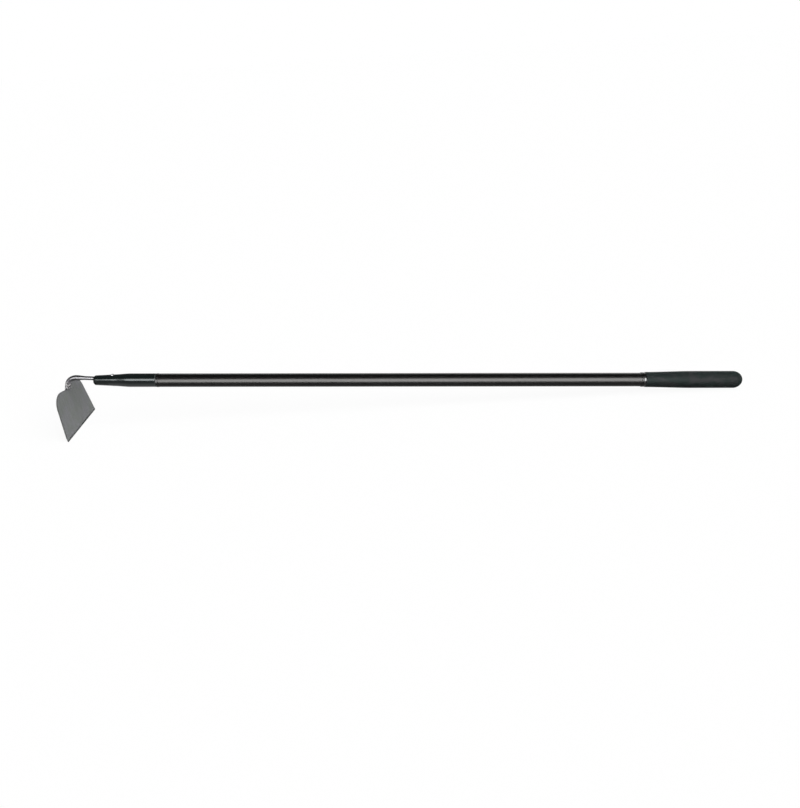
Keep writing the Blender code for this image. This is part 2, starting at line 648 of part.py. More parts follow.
# Pieces
PIECES = [
    make_blade(),
    make_gooseneck(),
    make_front_weld(),
    make_back_weld("weld_back_left", -1),
    make_back_weld("weld_back_right", 1),
    make_nose_sleeve(),
    make_nose_rivet(),
    make_joint_ring(),
    make_handle_tube(),
    make_grip_collar(),
    make_cushion_grip(),
    make_tube_end_plug(),
]
set_on_floor(HANDLE, PIECES)
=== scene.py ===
"""Looks of a garden hoe: welded steel head, moulded nose, straight glossy shaft and cushion grip.

The pieces are modelled in two frames. The handle's frame has its origin on the handle's axis at the
tip of the nose, with +X toward the grip and +Z away from the cutting edge. The blade's frame sits
at the middle of the cutting edge, with +X square to the inner face and +Z up the blade. Both are
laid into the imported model's frame at the end, so that every piece rests where its CAD node does.
"""

from __future__ import annotations

import logging
import math
from contextlib import contextmanager
from dataclasses import dataclass
from enum import Enum
from typing import Any, Callable, Iterator, Optional, Sequence, Union

import bmesh
import bpy
from mathutils import Matrix, Quaternion, Vector

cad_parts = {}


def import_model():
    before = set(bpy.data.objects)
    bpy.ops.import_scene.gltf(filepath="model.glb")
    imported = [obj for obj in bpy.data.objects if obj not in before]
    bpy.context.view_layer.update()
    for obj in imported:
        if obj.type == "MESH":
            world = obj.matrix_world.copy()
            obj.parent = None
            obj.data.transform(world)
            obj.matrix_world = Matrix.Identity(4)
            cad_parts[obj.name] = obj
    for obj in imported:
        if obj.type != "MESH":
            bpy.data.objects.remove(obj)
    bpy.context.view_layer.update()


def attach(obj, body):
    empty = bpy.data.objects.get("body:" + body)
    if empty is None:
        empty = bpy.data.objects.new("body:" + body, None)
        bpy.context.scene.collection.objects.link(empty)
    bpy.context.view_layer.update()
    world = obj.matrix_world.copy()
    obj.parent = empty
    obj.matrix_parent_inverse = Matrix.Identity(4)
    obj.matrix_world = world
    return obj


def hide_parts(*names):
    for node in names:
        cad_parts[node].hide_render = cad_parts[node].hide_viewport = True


LOG = logging.getLogger("garden_hoe")

MM = 0.001
DEGREE = math.pi / 180.0
RIGHT_ANGLE = 90 * DEGREE

# Clearance between pieces that touch
SEAT_GAP = 0.3 * MM
# How near to each other vertices merge, and how near to a circle an edge counts as on it
MERGE_DISTANCE = 0.002 * MM
ON_CIRCLE = 0.02 * MM

BODY = "root"
# Values that a mesh carries for its finish
ROD_PLACE = "rod_place"
BARE_EDGE = "bare_edge"

WHITE = (1.0, 1.0, 1.0)

Colour = tuple[float, float, float]
Point = tuple[float, float, float]
Profile = Sequence[tuple[float, float]]


class Slot(Enum):
    """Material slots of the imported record."""

    BLADE = "blade_steel"
    ROD = "rod_steel"
    WELD = "weld_metal"
    SLEEVE = "sleeve_plastic"
    RIVET = "rivet_metal"
    RING = "ring_plastic"
    SHAFT = "shaft_laminate"
    GRIP = "grip_foam"


class Pick(Enum):
    """What a selection in edit mode is made of."""

    VERTICES = "VERT"
    EDGES = "EDGE"
    FACES = "FACE"


@dataclass(frozen=True)
class Stance:
    """How the hoe rests on its cutting edge and on its grip."""

    nose_tip: Point = (-0.644807, 0.0, 0.103223)
    lean: float = 3.6563 * DEGREE
    edge_middle: Point = (-43.931 * MM, 0.0, -106.146 * MM)
    blade_lean: float = 10.4 * DEGREE

    @property
    def handle(self) -> Matrix:
        """Matrix from the handle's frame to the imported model's."""
        return Matrix.Translation(self.nose_tip) @ Matrix.Rotation(self.lean, 4, "Y")

    @property
    def blade(self) -> Matrix:
        """Matrix from the blade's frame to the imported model's."""
        tilt = Matrix.Rotation(-self.blade_lean, 4, "Y")
        return self.handle @ Matrix.Translation(self.edge_middle) @ tilt

    @property
    def blade_on_handle(self) -> Matrix:
        """Matrix from the blade's frame to the handle's."""
        return self.handle.inverted() @ self.blade


STANCE = Stance()


class Signal:
    """One output socket of a node, with the arithmetic that the finishes use."""

    def __init__(self, graph: NodeGraph, socket: bpy.types.NodeSocket) -> None:
        """Wrap a socket of the graph."""
        self.graph = graph
        self.socket = socket

    def _math(self, operation: str, *terms: Term) -> Signal:
        """Result of one Math node."""
        inputs = dict(enumerate(terms))
        return self.graph.node("ShaderNodeMath", {"operation": operation}, inputs)

    def __add__(self, other: Term) -> Signal:
        """Sum."""
        return self._math("ADD", self, other)

    def __radd__(self, other: float) -> Signal:
        """Sum, with the number first."""
        return self._math("ADD", other, self)

    def __sub__(self, other: Term) -> Signal:
        """Difference."""
        return self._math("SUBTRACT", self, other)

    def __rsub__(self, other: float) -> Signal:
        """Difference, with the number first."""
        return self._math("SUBTRACT", other, self)

    def __mul__(self, other: Term) -> Signal:
        """Product."""
        return self._math("MULTIPLY", self, other)

    def __rmul__(self, other: float) -> Signal:
        """Product, with the number first."""
        return self._math("MULTIPLY", other, self)

    def size(self) -> Signal:
        """Absolute value."""
        return self._math("ABSOLUTE", self)

    def at_least(self, other: Term) -> Signal:
        """The larger of two values."""
        return self._math("MAXIMUM", self, other)

    def sibling(self, output: Union[int, str]) -> Signal:
        """Another output of the same node, by number or name."""
        return Signal(self.graph, self.socket.node.outputs[output])

    def rise(self, low: float, high: float) -> Signal:
        """Smooth step.

        Args:
            low: value that gives 0.
            high: value that gives 1, which may be the smaller one.

        Returns:
            The step, held between 0 and 1.
        """
        settings = {"interpolation_type": "SMOOTHSTEP", "clamp": True}
        inputs = {"Value": self, "From Min": low, "From Max": high, "To Min": 0.0, "To Max": 1.0}
        return self.graph.node("ShaderNodeMapRange", settings, inputs)


Term = Union[Signal, float]


class NodeGraph:
    """Node tree of a material or of the world."""

    def __init__(self, tree: bpy.types.NodeTree) -> None:
        """Work on a tree that exists."""
        self.tree = tree

    def node(
        self, kind: str, settings: dict[str, Any], inputs: dict[Any, Any], output: Any = 0
    ) -> Signal:
        """Add one node.

        Args:
            kind: the node's type name.
            settings: the node's own properties.
            inputs: values or signals for its sockets, by name or number.
            output: name or number of the output that is wanted.

        Returns:
            The chosen output.
        """
        made = self.tree.nodes.new(kind)
        for key, value in settings.items():
            setattr(made, key, value)
        for key, value in inputs.items():
            self.feed(made.inputs[key], value)
        return Signal(self, made.outputs[output])

    def feed(self, socket: bpy.types.NodeSocket, value: Any) -> None:
        """Link a signal to a socket, or set the socket's own value.

        Args:
            socket: the input socket.
            value: a signal, a number, a vector or a colour.
        """
        if isinstance(value, Signal):
            self.tree.links.new(value.socket, socket)
        elif socket.type == "RGBA" and len(value) == 3:
            socket.default_value = (*value, 1.0)
        else:
            socket.default_value = value

    def axes(self, place: Signal) -> tuple[Signal, Signal, Signal]:
        """The three numbers of a vector."""
        x = self.node("ShaderNodeSeparateXYZ", {}, {0: place})
        return x, x.sibling(1), x.sibling(2)

    def onlookers(self) -> tuple[Signal, Signal]:
        """Masks of the rays that see a white background.

        Returns:
            1 for rays from the camera, and 1 for rays off gloss or through clear pieces, else 0.
        """
        camera = self.node("ShaderNodeLightPath", {}, {}, "Is Camera Ray")
        gloss = camera.sibling("Is Glossy Ray")
        return camera, gloss.at_least(camera.sibling("Is Transmission Ray"))


class ShaderGraph(NodeGraph):
    """Node tree of one material, built around a Principled shader."""

    def __init__(self, name: str) -> None:
        """Make the material with its shader.

        Args:
            name: the material's name.
        """
        self.material = bpy.data.materials.new(name)
        self.material.use_nodes = True
        super().__init__(self.material.node_tree)
        self.shader = self.tree.nodes["Principled BSDF"]

    def place(self, frame: Matrix) -> Signal:
        """Coordinates in metres in a frame of the object.

        Args:
            frame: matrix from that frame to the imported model's.

        Returns:
            The vector.
        """
        where = self.node("ShaderNodeTexCoord", {}, {}, "Object")
        inputs = {
            "Vector": where,
            "Location": tuple(frame.translation),
            "Rotation": tuple(frame.to_euler()),
            "Scale": (1.0, 1.0, 1.0),
        }
        return self.node("ShaderNodeMapping", {"vector_type": "TEXTURE"}, inputs)

    def attribute(self, name: str, output: str = "Vector") -> Signal:
        """A value that the mesh carries."""
        return self.node("ShaderNodeAttribute", {"attribute_name": name}, {}, output)

    def scaled(self, place: Signal, factors: Point) -> Signal:
        """Vector multiplied along each axis."""
        inputs = {0: place, 1: factors}
        return self.node("ShaderNodeVectorMath", {"operation": "MULTIPLY"}, inputs)

    def noise(
        self, place: Signal, scale: float, detail: float = 2.0, roughness: float = 0.5
    ) -> Signal:
        """Soft noise about 0.5.

        Args:
            place: where it is read.
            scale: features per metre.
            detail: number of finer layers in it.
            roughness: how much the finer layers show.

        Returns:
            The noise.
        """
        inputs = {"Vector": place, "Scale": scale, "Detail": detail, "Roughness": roughness}
        return self.node("ShaderNodeTexNoise", {}, inputs)

    def streaks(
        self, place: Signal, factors: Point, detail: float = 2.0, roughness: float = 0.5
    ) -> Signal:
        """Noise with its own number of features per metre along each axis.

        Args:
            place: where it is read.
            factors: features per metre along the three axes.
            detail: number of finer layers in it.
            roughness: how much the finer layers show.

        Returns:
            The noise.
        """
        return self.noise(self.scaled(place, factors), 1.0, detail, roughness)

    def cells(self, place: Signal, scale: float) -> Signal:
        """Distance in a cell pattern, with the scale in cells per metre."""
        return self.node("ShaderNodeTexVoronoi", {}, {"Vector": place, "Scale": scale})

    def grey(self, value: Signal) -> Signal:
        """Colour with the same value in its three channels."""
        return self.node("ShaderNodeCombineColor", {}, {0: value, 1: value, 2: value})

    def blend(self, amount: Term, first: Any, second: Any, how: str = "MIX") -> Signal:
        """Mix two colours.

        Args:
            amount: share of the second one.
            first: colour or signal.
            second: colour or signal.
            how: the way of mixing.

        Returns:
            The mixed colour.
        """
        settings = {"data_type": "RGBA", "blend_type": how, "clamp_factor": True}
        inputs = {0: amount, 6: first, 7: second}
        return self.node("ShaderNodeMix", settings, inputs, 2)

    def relief(self, height: Signal, depth: float, below: Optional[Signal] = None) -> Signal:
        """Normal of an uneven surface.

        Args:
            height: pattern of its height.
            depth: the pattern's full step, in metres.
            below: normal of a coarser relief that carries this one.

        Returns:
            The normal.
        """
        inputs: dict[str, Any] = {"Height": height, "Distance": depth, "Strength": 1.0}
        if below is not None:
            inputs["Normal"] = below
        return self.node("ShaderNodeBump", {}, inputs)

    def finish(self, **sockets: Any) -> bpy.types.Material:
        """Feed the Principled shader.

        Args:
            sockets: its inputs by name, with underscores for spaces.

        Returns:
            The material.
        """
        for name, value in sockets.items():
            self.feed(self.shader.inputs[name.replace("_", " ")], value)
        return self.material


@dataclass(frozen=True)
class BlastedSteel:
    """Matte grey plate steel with a fine blasted grain, ground bright along the cutting edge."""

    name: str = "blasted_steel"
    grey: Colour = (0.195, 0.207, 0.198)
    cool_grey: Colour = (0.201, 0.205, 0.213)
    ground: Colour = (0.400, 0.405, 0.410)
    burnt: Colour = (0.075, 0.076, 0.080)
    height: float = 93.9 * MM
    bevel_height: float = 8.0 * MM
    bevel_from: float = -0.55 * MM
    bevel_full: float = -0.75 * MM
    weld_height: float = 90.0 * MM
    burn_across: float = 3600.0
    burn_up: float = 5200.0
    rim_shade: float = 0.26
    grain_depth: float = 0.07 * MM
    grinding_depth: float = 0.03 * MM

    def material(self) -> bpy.types.Material:
        """Build the finish.

        Returns:
            The new material.
        """
        g = ShaderGraph(self.name)
        place = g.place(STANCE.blade)
        out, across, up = g.axes(place)
        cloud = g.noise(place, 36.0, 4.0, 0.55)
        fleck = g.noise(place, 300.0, 3.0, 0.65)
        grain = g.noise(place, 1150.0, 2.0, 0.6)
        strokes = g.streaks(place, (60.0, 230.0, 42.0), 2.0, 0.6)
        colour = g.blend(cloud.rise(0.38, 0.62), self.grey, self.cool_grey)
        speckle = (cloud - 0.5) * 0.20 + (fleck - 0.5) * 0.50
        speckle = speckle + (grain - 0.5) * 0.30 + (strokes - 0.5) * 0.42
        # Painted light: the plate's colour is made lighter toward the cutting edge
        painted_light = up.rise(self.height, 0.0) * 0.12
        rim = g.attribute(BARE_EDGE, "Fac").rise(0.25, 0.75)
        shade = (0.95 + painted_light + speckle) * (1.0 - rim * self.rim_shade)
        colour = g.blend(1.0, colour, g.grey(shade), "MULTIPLY")

        low = up.rise(self.bevel_height * 1.02, self.bevel_height * 0.98)
        bevel = low * out.rise(self.bevel_from, self.bevel_full)
        lines = g.streaks(place, (40.0, 2600.0, 60.0), 3.0, 0.65)
        hollow = tuple(channel * 0.78 for channel in self.ground)
        ground = g.blend(lines.rise(0.3, 0.75), hollow, self.ground)
        colour = g.blend(bevel, colour, ground)

        above = up - self.weld_height
        spread = across * across * self.burn_across + above * above * self.burn_up
        heat = (spread + (cloud - 0.5) * 0.6).rise(0.75, 0.1)
        colour = g.blend(heat * 0.12, colour, self.burnt)

        rough = 0.62 + (grain - 0.5) * 0.14 + (fleck - 0.5) * 0.10 - bevel * 0.24
        normal = g.relief(grain * 0.7 + fleck * 0.6, self.grain_depth)
        normal = g.relief(lines * bevel, self.grinding_depth, normal)
        metal = 0.16 + bevel * 0.6
        return g.finish(Base_Color=colour, Roughness=rough, Metallic=metal, Normal=normal)


@dataclass(frozen=True)
class DrawnSteel:
    """Drawn round bar with streaks along its length, tinted and spattered by the welds.

    Its tint and its splashes grow toward the weld, each from one distance to another.
    """

    name: str = "drawn_steel"
    bright: Colour = (0.215, 0.212, 0.220)
    dark: Colour = (0.090, 0.090, 0.095)
    tint: Colour = (0.150, 0.138, 0.166)
    straw: Colour = (0.215, 0.200, 0.184)
    splash: Colour = (0.880, 0.875, 0.870)
    weld_at: float = 71.0 * MM
    tint_reach: tuple[float, float] = (34.0 * MM, 6.0 * MM)
    splash_reach: tuple[float, float] = (18.0 * MM, 8.0 * MM)
    relief_depth: float = 0.05 * MM

    def material(self) -> bpy.types.Material:
        """Build the finish.

        Returns:
            The new material.
        """
        g = ShaderGraph(self.name)
        place = g.attribute(ROD_PLACE)
        along = g.axes(place)[0]
        near = along.rise(*(self.weld_at - reach for reach in self.tint_reach))
        hottest = along.rise(*(self.weld_at - reach for reach in self.splash_reach))
        streaks = g.streaks(place, (14.0, 620.0, 620.0), 4.0, 0.6)
        scale = g.streaks(place, (120.0, 260.0, 260.0), 5.0, 0.65)
        pits = g.noise(place, 1500.0, 2.0, 0.6)
        spatter = g.noise(place, 340.0, 5.0, 0.75)
        beads = hottest * spatter.rise(0.51, 0.61)

        colour = g.blend(streaks.rise(0.32, 0.68), self.dark, self.bright)
        colour = g.blend(scale.rise(0.52, 0.72) * 0.45, colour, self.dark)
        colour = g.blend(near * scale.rise(0.36, 0.64) * 0.75, colour, self.tint)
        colour = g.blend(hottest * scale.rise(0.6, 0.42) * 0.4, colour, self.straw)
        colour = g.blend(near * spatter.rise(0.49, 0.38) * 0.6, colour, self.dark)
        colour = g.blend(beads * 0.9, colour, self.splash)
        rough = 0.17 + scale * 0.12 + near * 0.14
        height = streaks * 0.5 + scale * 0.9 + pits * 0.25 + beads * 1.5
        normal = g.relief(height, self.relief_depth)
        return g.finish(Base_Color=colour, Roughness=rough, Metallic=0.85, Normal=normal)


@dataclass(frozen=True)
class WeldMetal:
    """Rippled bright weld metal with dark glassy specks in its hollows."""

    name: str = "weld_metal"
    bright: Colour = (0.340, 0.340, 0.345)
    dull: Colour = (0.120, 0.116, 0.124)
    slag: Colour = (0.045, 0.041, 0.041)
    relief_depth: float = 0.22 * MM

    def material(self) -> bpy.types.Material:
        """Build the finish.

        Returns:
            The new material.
        """
        g = ShaderGraph(self.name)
        place = g.place(STANCE.blade)
        lumps = g.noise(place, 420.0, 3.0, 0.6)
        fine = g.noise(place, 1800.0, 2.0, 0.6)
        specks = g.cells(place, 640.0).rise(0.34, 0.16)
        colour = g.blend(lumps.rise(0.36, 0.6), self.dull, self.bright)
        colour = g.blend(specks * 0.6, colour, self.slag)
        rough = 0.34 + fine * 0.22
        normal = g.relief(lumps * 0.6 + fine * 0.4, self.relief_depth)
        return g.finish(Base_Color=colour, Roughness=rough, Metallic=0.95, Normal=normal)


@dataclass(frozen=True)
class MouldedPlastic:
    """Black moulding with a fine grain and light scuffs.

    It can have a parting line along both its sides, a paler rim beyond a station that is a painted
    highlight, and a gloss coat that begins at a station.
    """

    name: str
    colour: Colour
    roughness: float
    shine: float
    grain_depth: float = 0.02 * MM
    gloss_tint: Colour = WHITE
    painted_rim_from: Optional[float] = None
    painted_light: Colour = (0.046, 0.054, 0.053)
    painted_rim_over: float = 0.2 * MM
    parting_line: bool = False
    line_edge: float = 0.28 * MM
    line_core: float = 0.06 * MM
    line_depth: float = 0.035 * MM
    polished_from: Optional[float] = None
    polish_over: float = 0.5 * MM
    gloss_coat: float = 0.0

    def material(self) -> bpy.types.Material:
        """Build the finish.

        Returns:
            The new material.
        """
        g = ShaderGraph(self.name)
        place = g.place(STANCE.handle)
        along, _, height = g.axes(place)
        grain = g.noise(place, 1700.0, 2.0, 0.55)
        cloud = g.streaks(place, (22.0, 60.0, 60.0), 3.0)
        marks = g.streaks(place, (900.0, 160.0, 160.0), 4.0, 0.75).rise(0.66, 0.8)
        paler = tuple(channel * 1.7 + 0.003 for channel in self.colour)
        colour = g.blend(cloud.rise(0.3, 0.8) * 0.5 + marks * 0.3, self.colour, paler)
        rough = self.roughness + (cloud - 0.5) * 0.08 + marks * 0.10
        normal = g.relief(grain, self.grain_depth)
        # Painted highlight: the rim beyond the station is coloured paler
        if self.painted_rim_from is not None:
            rim = along.rise(self.painted_rim_from, self.painted_rim_from + self.painted_rim_over)
            colour = g.blend(rim, colour, self.painted_light)
        if self.parting_line:
            line = height.size().rise(self.line_edge, self.line_core)
            normal = g.relief(line, self.line_depth, normal)
        if self.polished_from is not None:
            low, high = self.polished_from - self.polish_over, self.polished_from + self.polish_over
            g.finish(Coat_Weight=along.rise(low, high) * self.gloss_coat, Coat_Roughness=0.12)
        g.finish(Specular_IOR_Level=self.shine, Specular_Tint=self.gloss_tint)
        return g.finish(Base_Color=colour, Roughness=rough, Normal=normal)

# Painted highlight along the sleeve's rear rim

@dataclass(frozen=True)
class BrightMetal:
    """Turned bright metal of the rivet, with small dents from its setting."""

    name: str = "rivet_bright"
    colour: Colour = (0.560, 0.562, 0.570)
    tarnish: Colour = (0.220, 0.216, 0.212)
    dent_depth: float = 0.10 * MM

    def material(self) -> bpy.types.Material:
        """Build the finish.

        Returns:
            The new material.
        """
        g = ShaderGraph(self.name)
        place = g.place(STANCE.handle)
        dents = g.noise(place, 700.0, 3.0, 0.6)
        fine = g.noise(place, 2600.0, 2.0, 0.6)
        colour = g.blend(dents.rise(0.5, 0.75) * 0.6, self.colour, self.tarnish)
        rough = 0.30 + fine * 0.18
        normal = g.relief(dents + fine * 0.3, self.dent_depth)
        return g.finish(Base_Color=colour, Roughness=rough, Metallic=1.0, Normal=normal)


@dataclass(frozen=True)
class ShaftLaminate:
    """Glossy black fibre laminate with faint strands along the shaft under a clear skin."""

    name: str = "shaft_laminate"
    black: Colour = (0.0012, 0.0011, 0.0011)
    strand: Colour = (0.0044, 0.0041, 0.0039)
    shine: float = 0.10
    gloss_tint: Colour = (1.0, 0.985, 0.965)
    strand_depth: float = 0.018 * MM

    def material(self) -> bpy.types.Material:
        """Build the finish.

        Returns:
            The new material.
        """
        g = ShaderGraph(self.name)
        place = g.place(STANCE.handle)
        strands = g.streaks(place, (7.0, 900.0, 900.0), 4.0, 0.6)
        bundles = g.streaks(place, (2.5, 150.0, 150.0))
        marks = g.streaks(place, (120.0, 300.0, 300.0), 5.0, 0.75).rise(0.66, 0.80)
        colour = g.blend(strands.rise(0.42, 0.72) * 0.7 + marks * 0.2, self.black, self.strand)
        rough = 0.30 + (bundles - 0.5) * 0.06 + marks * 0.08
        normal = g.relief(strands * 0.6 + bundles, self.strand_depth)
        g.finish(Specular_IOR_Level=self.shine, Specular_Tint=self.gloss_tint)
        return g.finish(Base_Color=colour, Roughness=rough, Normal=normal)


@dataclass(frozen=True)
class GripFoam:
    """Matte closed-cell foam with fine pores, a faint bloom from handling, and painted shade on its
    underside.
    """

    name: str = "grip_foam"
    charcoal: Colour = (0.0150, 0.0215, 0.0205)
    pore_and_painted_shade: Colour = (0.0080, 0.0105, 0.0105)
    bloom: Colour = (0.0340, 0.0330, 0.0350)
    shine: float = 0.019
    # Heights below the axis over which painted shade darkens the underside
    painted_shade_from: float = -2.0 * MM
    painted_shade_full: float = -12.0 * MM
    pore_depth: float = 0.09 * MM

    def material(self) -> bpy.types.Material:
        """Build the finish.

        Returns:
            The new material.
        """
        g = ShaderGraph(self.name)
        place = g.place(STANCE.handle)
        # Painted shade: the colour darkens toward the underside of the foam
        painted_shade = g.axes(place)[2].rise(self.painted_shade_from, self.painted_shade_full)
        cloud = g.streaks(place, (38.0, 70.0, 70.0), 4.0, 0.6)
        pores = g.cells(place, 1100.0).rise(0.28, 0.10)
        crumb = g.noise(place, 620.0, 3.0, 0.65)
        colour = g.blend(cloud.rise(0.40, 0.66) * 0.62, self.charcoal, self.bloom)
        colour = g.blend(pores * 0.7 + painted_shade * 0.8, colour, self.pore_and_painted_shade)
        rough = 0.56 + (cloud - 0.5) * 0.14
        normal = g.relief(crumb * 0.8 - pores * 0.7, self.pore_depth)
        g.finish(Specular_IOR_Level=self.shine)
        return g.finish(Base_Color=colour, Roughness=rough, Normal=normal)


@dataclass(frozen=True)
class Ring:
    """One ring of a round piece, in an XZ plane: its middle, radius and turn about Y."""

    x: float
    radius: float
    z: float = 0.0
    turn: float = 0.0


class Workpiece:
    """One mesh object, shaped in edit mode by Blender's own operators."""

    def __init__(self, name: str) -> None:
        """Take the primitive that was just added, with its place put into its mesh.

        Args:
            name: the piece's name.
        """
        self.shape = bpy.context.active_object
        self.shape.name = name
        self.shape.data.name = name
        bpy.ops.object.transform_apply(location=True, rotation=True, scale=True)

    @staticmethod
    def clear_selection() -> None:
        """Deselect every object."""
        bpy.ops.object.select_all(action="DESELECT")

    def take_up(self) -> None:
        """Select this piece alone and make it the active one."""
        self.clear_selection()
        self.shape.select_set(True)
        bpy.context.view_layer.objects.active = self.shape

    @classmethod
    def circle(cls, name: str, sides: int, ring: Ring) -> Workpiece:
        """Open circle that faces along the handle.

        Args:
            name: the piece's name.
            sides: number of its vertices.
            ring: its place and size.

        Returns:
            The new piece.
        """
        cls.clear_selection()
        bpy.ops.mesh.primitive_circle_add(
            vertices=sides,
            radius=ring.radius,
            location=(ring.x, 0.0, ring.z),
            rotation=(0.0, RIGHT_ANGLE + ring.turn, 0.0),
        )
        return cls(name)

    @classmethod
    def block(cls, name: str, low: Point, high: Point) -> Workpiece:
        """Box between two corners.

        Args:
            name: the piece's name.
            low: its lowest corner.
            high: its highest corner.

        Returns:
            The new piece.
        """
        cls.clear_selection()
        middle = [(a + b) / 2 for a, b in zip(low, high)]
        size = [b - a for a, b in zip(low, high)]
        bpy.ops.mesh.primitive_cube_add(size=1.0, location=middle, scale=size)
        return cls(name)

    @classmethod
    def pin(
        cls, name: str, x: float, radius: float, low: float, high: float, sides: int = 48
    ) -> Workpiece:
        """Upright round bar.

        Args:
            name: the piece's name.
            x: its station on the handle.
            radius: its radius.
            low: height of its lower end.
            high: height of its upper end.
            sides: number of facets round it.

        Returns:
            The new piece.
        """
        cls.clear_selection()
        middle = (x, 0.0, (low + high) / 2)
        bpy.ops.mesh.primitive_cylinder_add(
            vertices=sides, radius=radius, depth=high - low, location=middle
        )
        return cls(name)

    @classmethod
    def sheet(cls, name: str, width: float, height: float) -> Workpiece:
        """Upright rectangle that faces +X, with its lower edge's middle at the origin.

        Args:
            name: the piece's name.
            width: its size along Y.
            height: its size along Z.

        Returns:
            The new piece.
        """
        cls.clear_selection()
        middle = (0.0, 0.0, height / 2)
        facing = (RIGHT_ANGLE, 0.0, RIGHT_ANGLE)
        bpy.ops.mesh.primitive_plane_add(size=1.0, location=middle, rotation=facing)
        piece = cls(name)
        with piece.editing():
            bpy.ops.mesh.select_all(action="SELECT")
            bpy.ops.transform.resize(value=(1.0, width, height), center_override=middle)
        return piece

    @classmethod
    def bar(cls, name: str, sides: int, rings: Sequence[Ring]) -> Workpiece:
        """Round bar with closed ends along a run of rings.

        Args:
            name: the piece's name.
            sides: number of facets round it.
            rings: its rings from end to end.

        Returns:
            The new piece.
        """
        piece = cls.circle(name, sides, rings[0])
        with piece.editing():
            bpy.ops.mesh.select_all(action="SELECT")
            bpy.ops.mesh.edge_face_add()
            piece.pick(Pick.EDGES, lambda edge: edge.is_boundary)
            piece.extend(rings)
            bpy.ops.mesh.edge_face_add()
        piece.tidy_mesh()
        return piece

    @classmethod
    def turned(cls, name: str, profile: Profile, sides: int = 96) -> Workpiece:
        """Round piece turned about the handle's axis.

        Args:
            name: the piece's name.
            profile: its section as (x, radius) pairs. It ends on the axis or where it began.
            sides: number of facets round it.

        Returns:
            The closed piece, in the handle's frame.
        """
        rings = [Ring(x, radius) for x, radius in profile]
        piece = cls.circle(name, sides, rings[0])
        with piece.editing():
            bpy.ops.mesh.select_all(action="SELECT")
            if profile[-1] != profile[0]:
                bpy.ops.mesh.edge_face_add()
                bpy.ops.mesh.poke()
                piece.pick(Pick.EDGES, lambda edge: edge.is_boundary)
            piece.extend(rings)
        piece.tidy_mesh()
        return piece

    @contextmanager
    def editing(self) -> Iterator[None]:
        """Edit mode on this piece alone.

        Yields:
            Nothing, while the piece is in edit mode.
        """
        self.take_up()
        bpy.ops.object.mode_set(mode="EDIT")
        yield
        bpy.ops.object.mode_set(mode="OBJECT")

    def pick(self, kind: Pick, wanted: Callable[[Any], bool]) -> None:
        """Select in edit mode the elements that are wanted, and nothing else.

        Args:
            kind: vertices, edges or faces.
            wanted: test of one element.
        """
        bpy.ops.mesh.select_mode(type=kind.value)
        bpy.ops.mesh.select_all(action="DESELECT")
        mesh = bmesh.from_edit_mesh(self.shape.data)
        group = {Pick.VERTICES: mesh.verts, Pick.EDGES: mesh.edges, Pick.FACES: mesh.faces}[kind]
        for element in [item for item in group if wanted(item)]:
            element.select_set(True)
        bmesh.update_edit_mesh(self.shape.data)

    def extend(self, rings: Sequence[Ring]) -> None:
        """Extrude the selected ring along a run of rings.

        Args:
            rings: the run, whose first ring is the selected one. A last radius of 0 closes the end.
        """
        for before, ring in zip(rings, rings[1:]):
            middle = (ring.x, 0.0, ring.z)
            step = (ring.x - before.x, 0.0, ring.z - before.z)
            bpy.ops.mesh.extrude_region_move(TRANSFORM_OT_translate={"value": step})
            if ring.radius == 0.0:
                bpy.ops.mesh.merge(type="CENTER")
                return
            if ring.turn != before.turn:
                turn = before.turn - ring.turn
                bpy.ops.transform.rotate(value=turn, orient_axis="Y", center_override=middle)
            if ring.radius != before.radius:
                ratio = ring.radius / before.radius
                bpy.ops.transform.resize(value=(ratio, ratio, ratio), center_override=middle)

    def round_rings(self, circles: Profile, width: float, facets: int = 4) -> None:
        """Round sharp circles of a turned piece.

        Args:
            circles: (x, radius) of each circle.
            width: size of the rounding.
            facets: number of facets across it.
        """

        def on_circle(edge: bmesh.types.BMEdge) -> bool:
            """Whether both ends of an edge lie on one of the circles."""
            ends = [(end.co.x, math.hypot(end.co.y, end.co.z)) for end in edge.verts]
            return any(
                all(abs(at - x) < ON_CIRCLE and abs(out - radius) < ON_CIRCLE for at, out in ends)
                for x, radius in circles
            )

        with self.editing():
            self.pick(Pick.EDGES, on_circle)
            bpy.ops.mesh.bevel(offset=width, offset_type="OFFSET", segments=facets, profile=0.5)

    def tidy_mesh(self) -> None:
        """Merge doubled vertices and point all faces outwards."""
        with self.editing():
            bpy.ops.mesh.select_all(action="SELECT")
            bpy.ops.mesh.remove_doubles(threshold=MERGE_DISTANCE)
            bpy.ops.mesh.normals_make_consistent(inside=False)

    def cut(self, cutter: Workpiece) -> None:
        """Take another piece's volume out of this one, and delete the other.

        Args:
            cutter: the other piece, in the same frame.
        """
        step = self.shape.modifiers.new("cut", "BOOLEAN")
        step.operation = "DIFFERENCE"
        step.solver = "EXACT"
        step.object = cutter.shape
        self.apply_modifiers()
        bpy.data.objects.remove(cutter.shape)

    def apply_modifiers(self) -> None:
        """Apply the modifiers in order."""
        self.take_up()
        for name in [step.name for step in self.shape.modifiers]:
            bpy.ops.object.modifier_apply(modifier=name)

    def froth(self, depth: float, size: float) -> None:
        """Smooth the surface once and push it in and out with soft lumps.

        Args:
            depth: the full step from hollow to crest.
            size: width of a lump.
        """
        finer = self.shape.modifiers.new("finer", "SUBSURF")
        finer.levels = finer.render_levels = 1
        lumps = bpy.data.textures.new(self.shape.name + "_lumps", "CLOUDS")
        lumps.noise_scale = size
        lumps.noise_depth = 1
        step = self.shape.modifiers.new("lumps", "DISPLACE")
        step.texture = lumps
        step.texture_coords = "LOCAL"
        step.strength = depth
        step.mid_level = 0.5
        self.apply_modifiers()
        bpy.data.textures.remove(lumps)

    def set_down(self, frame: Matrix) -> None:
        """Lay the piece into another frame.

        Args:
            frame: matrix from the frame that it was modelled in to the other one.
        """
        self.take_up()
        self.shape.matrix_world = frame
        bpy.ops.object.transform_apply(location=True, rotation=True, scale=True)

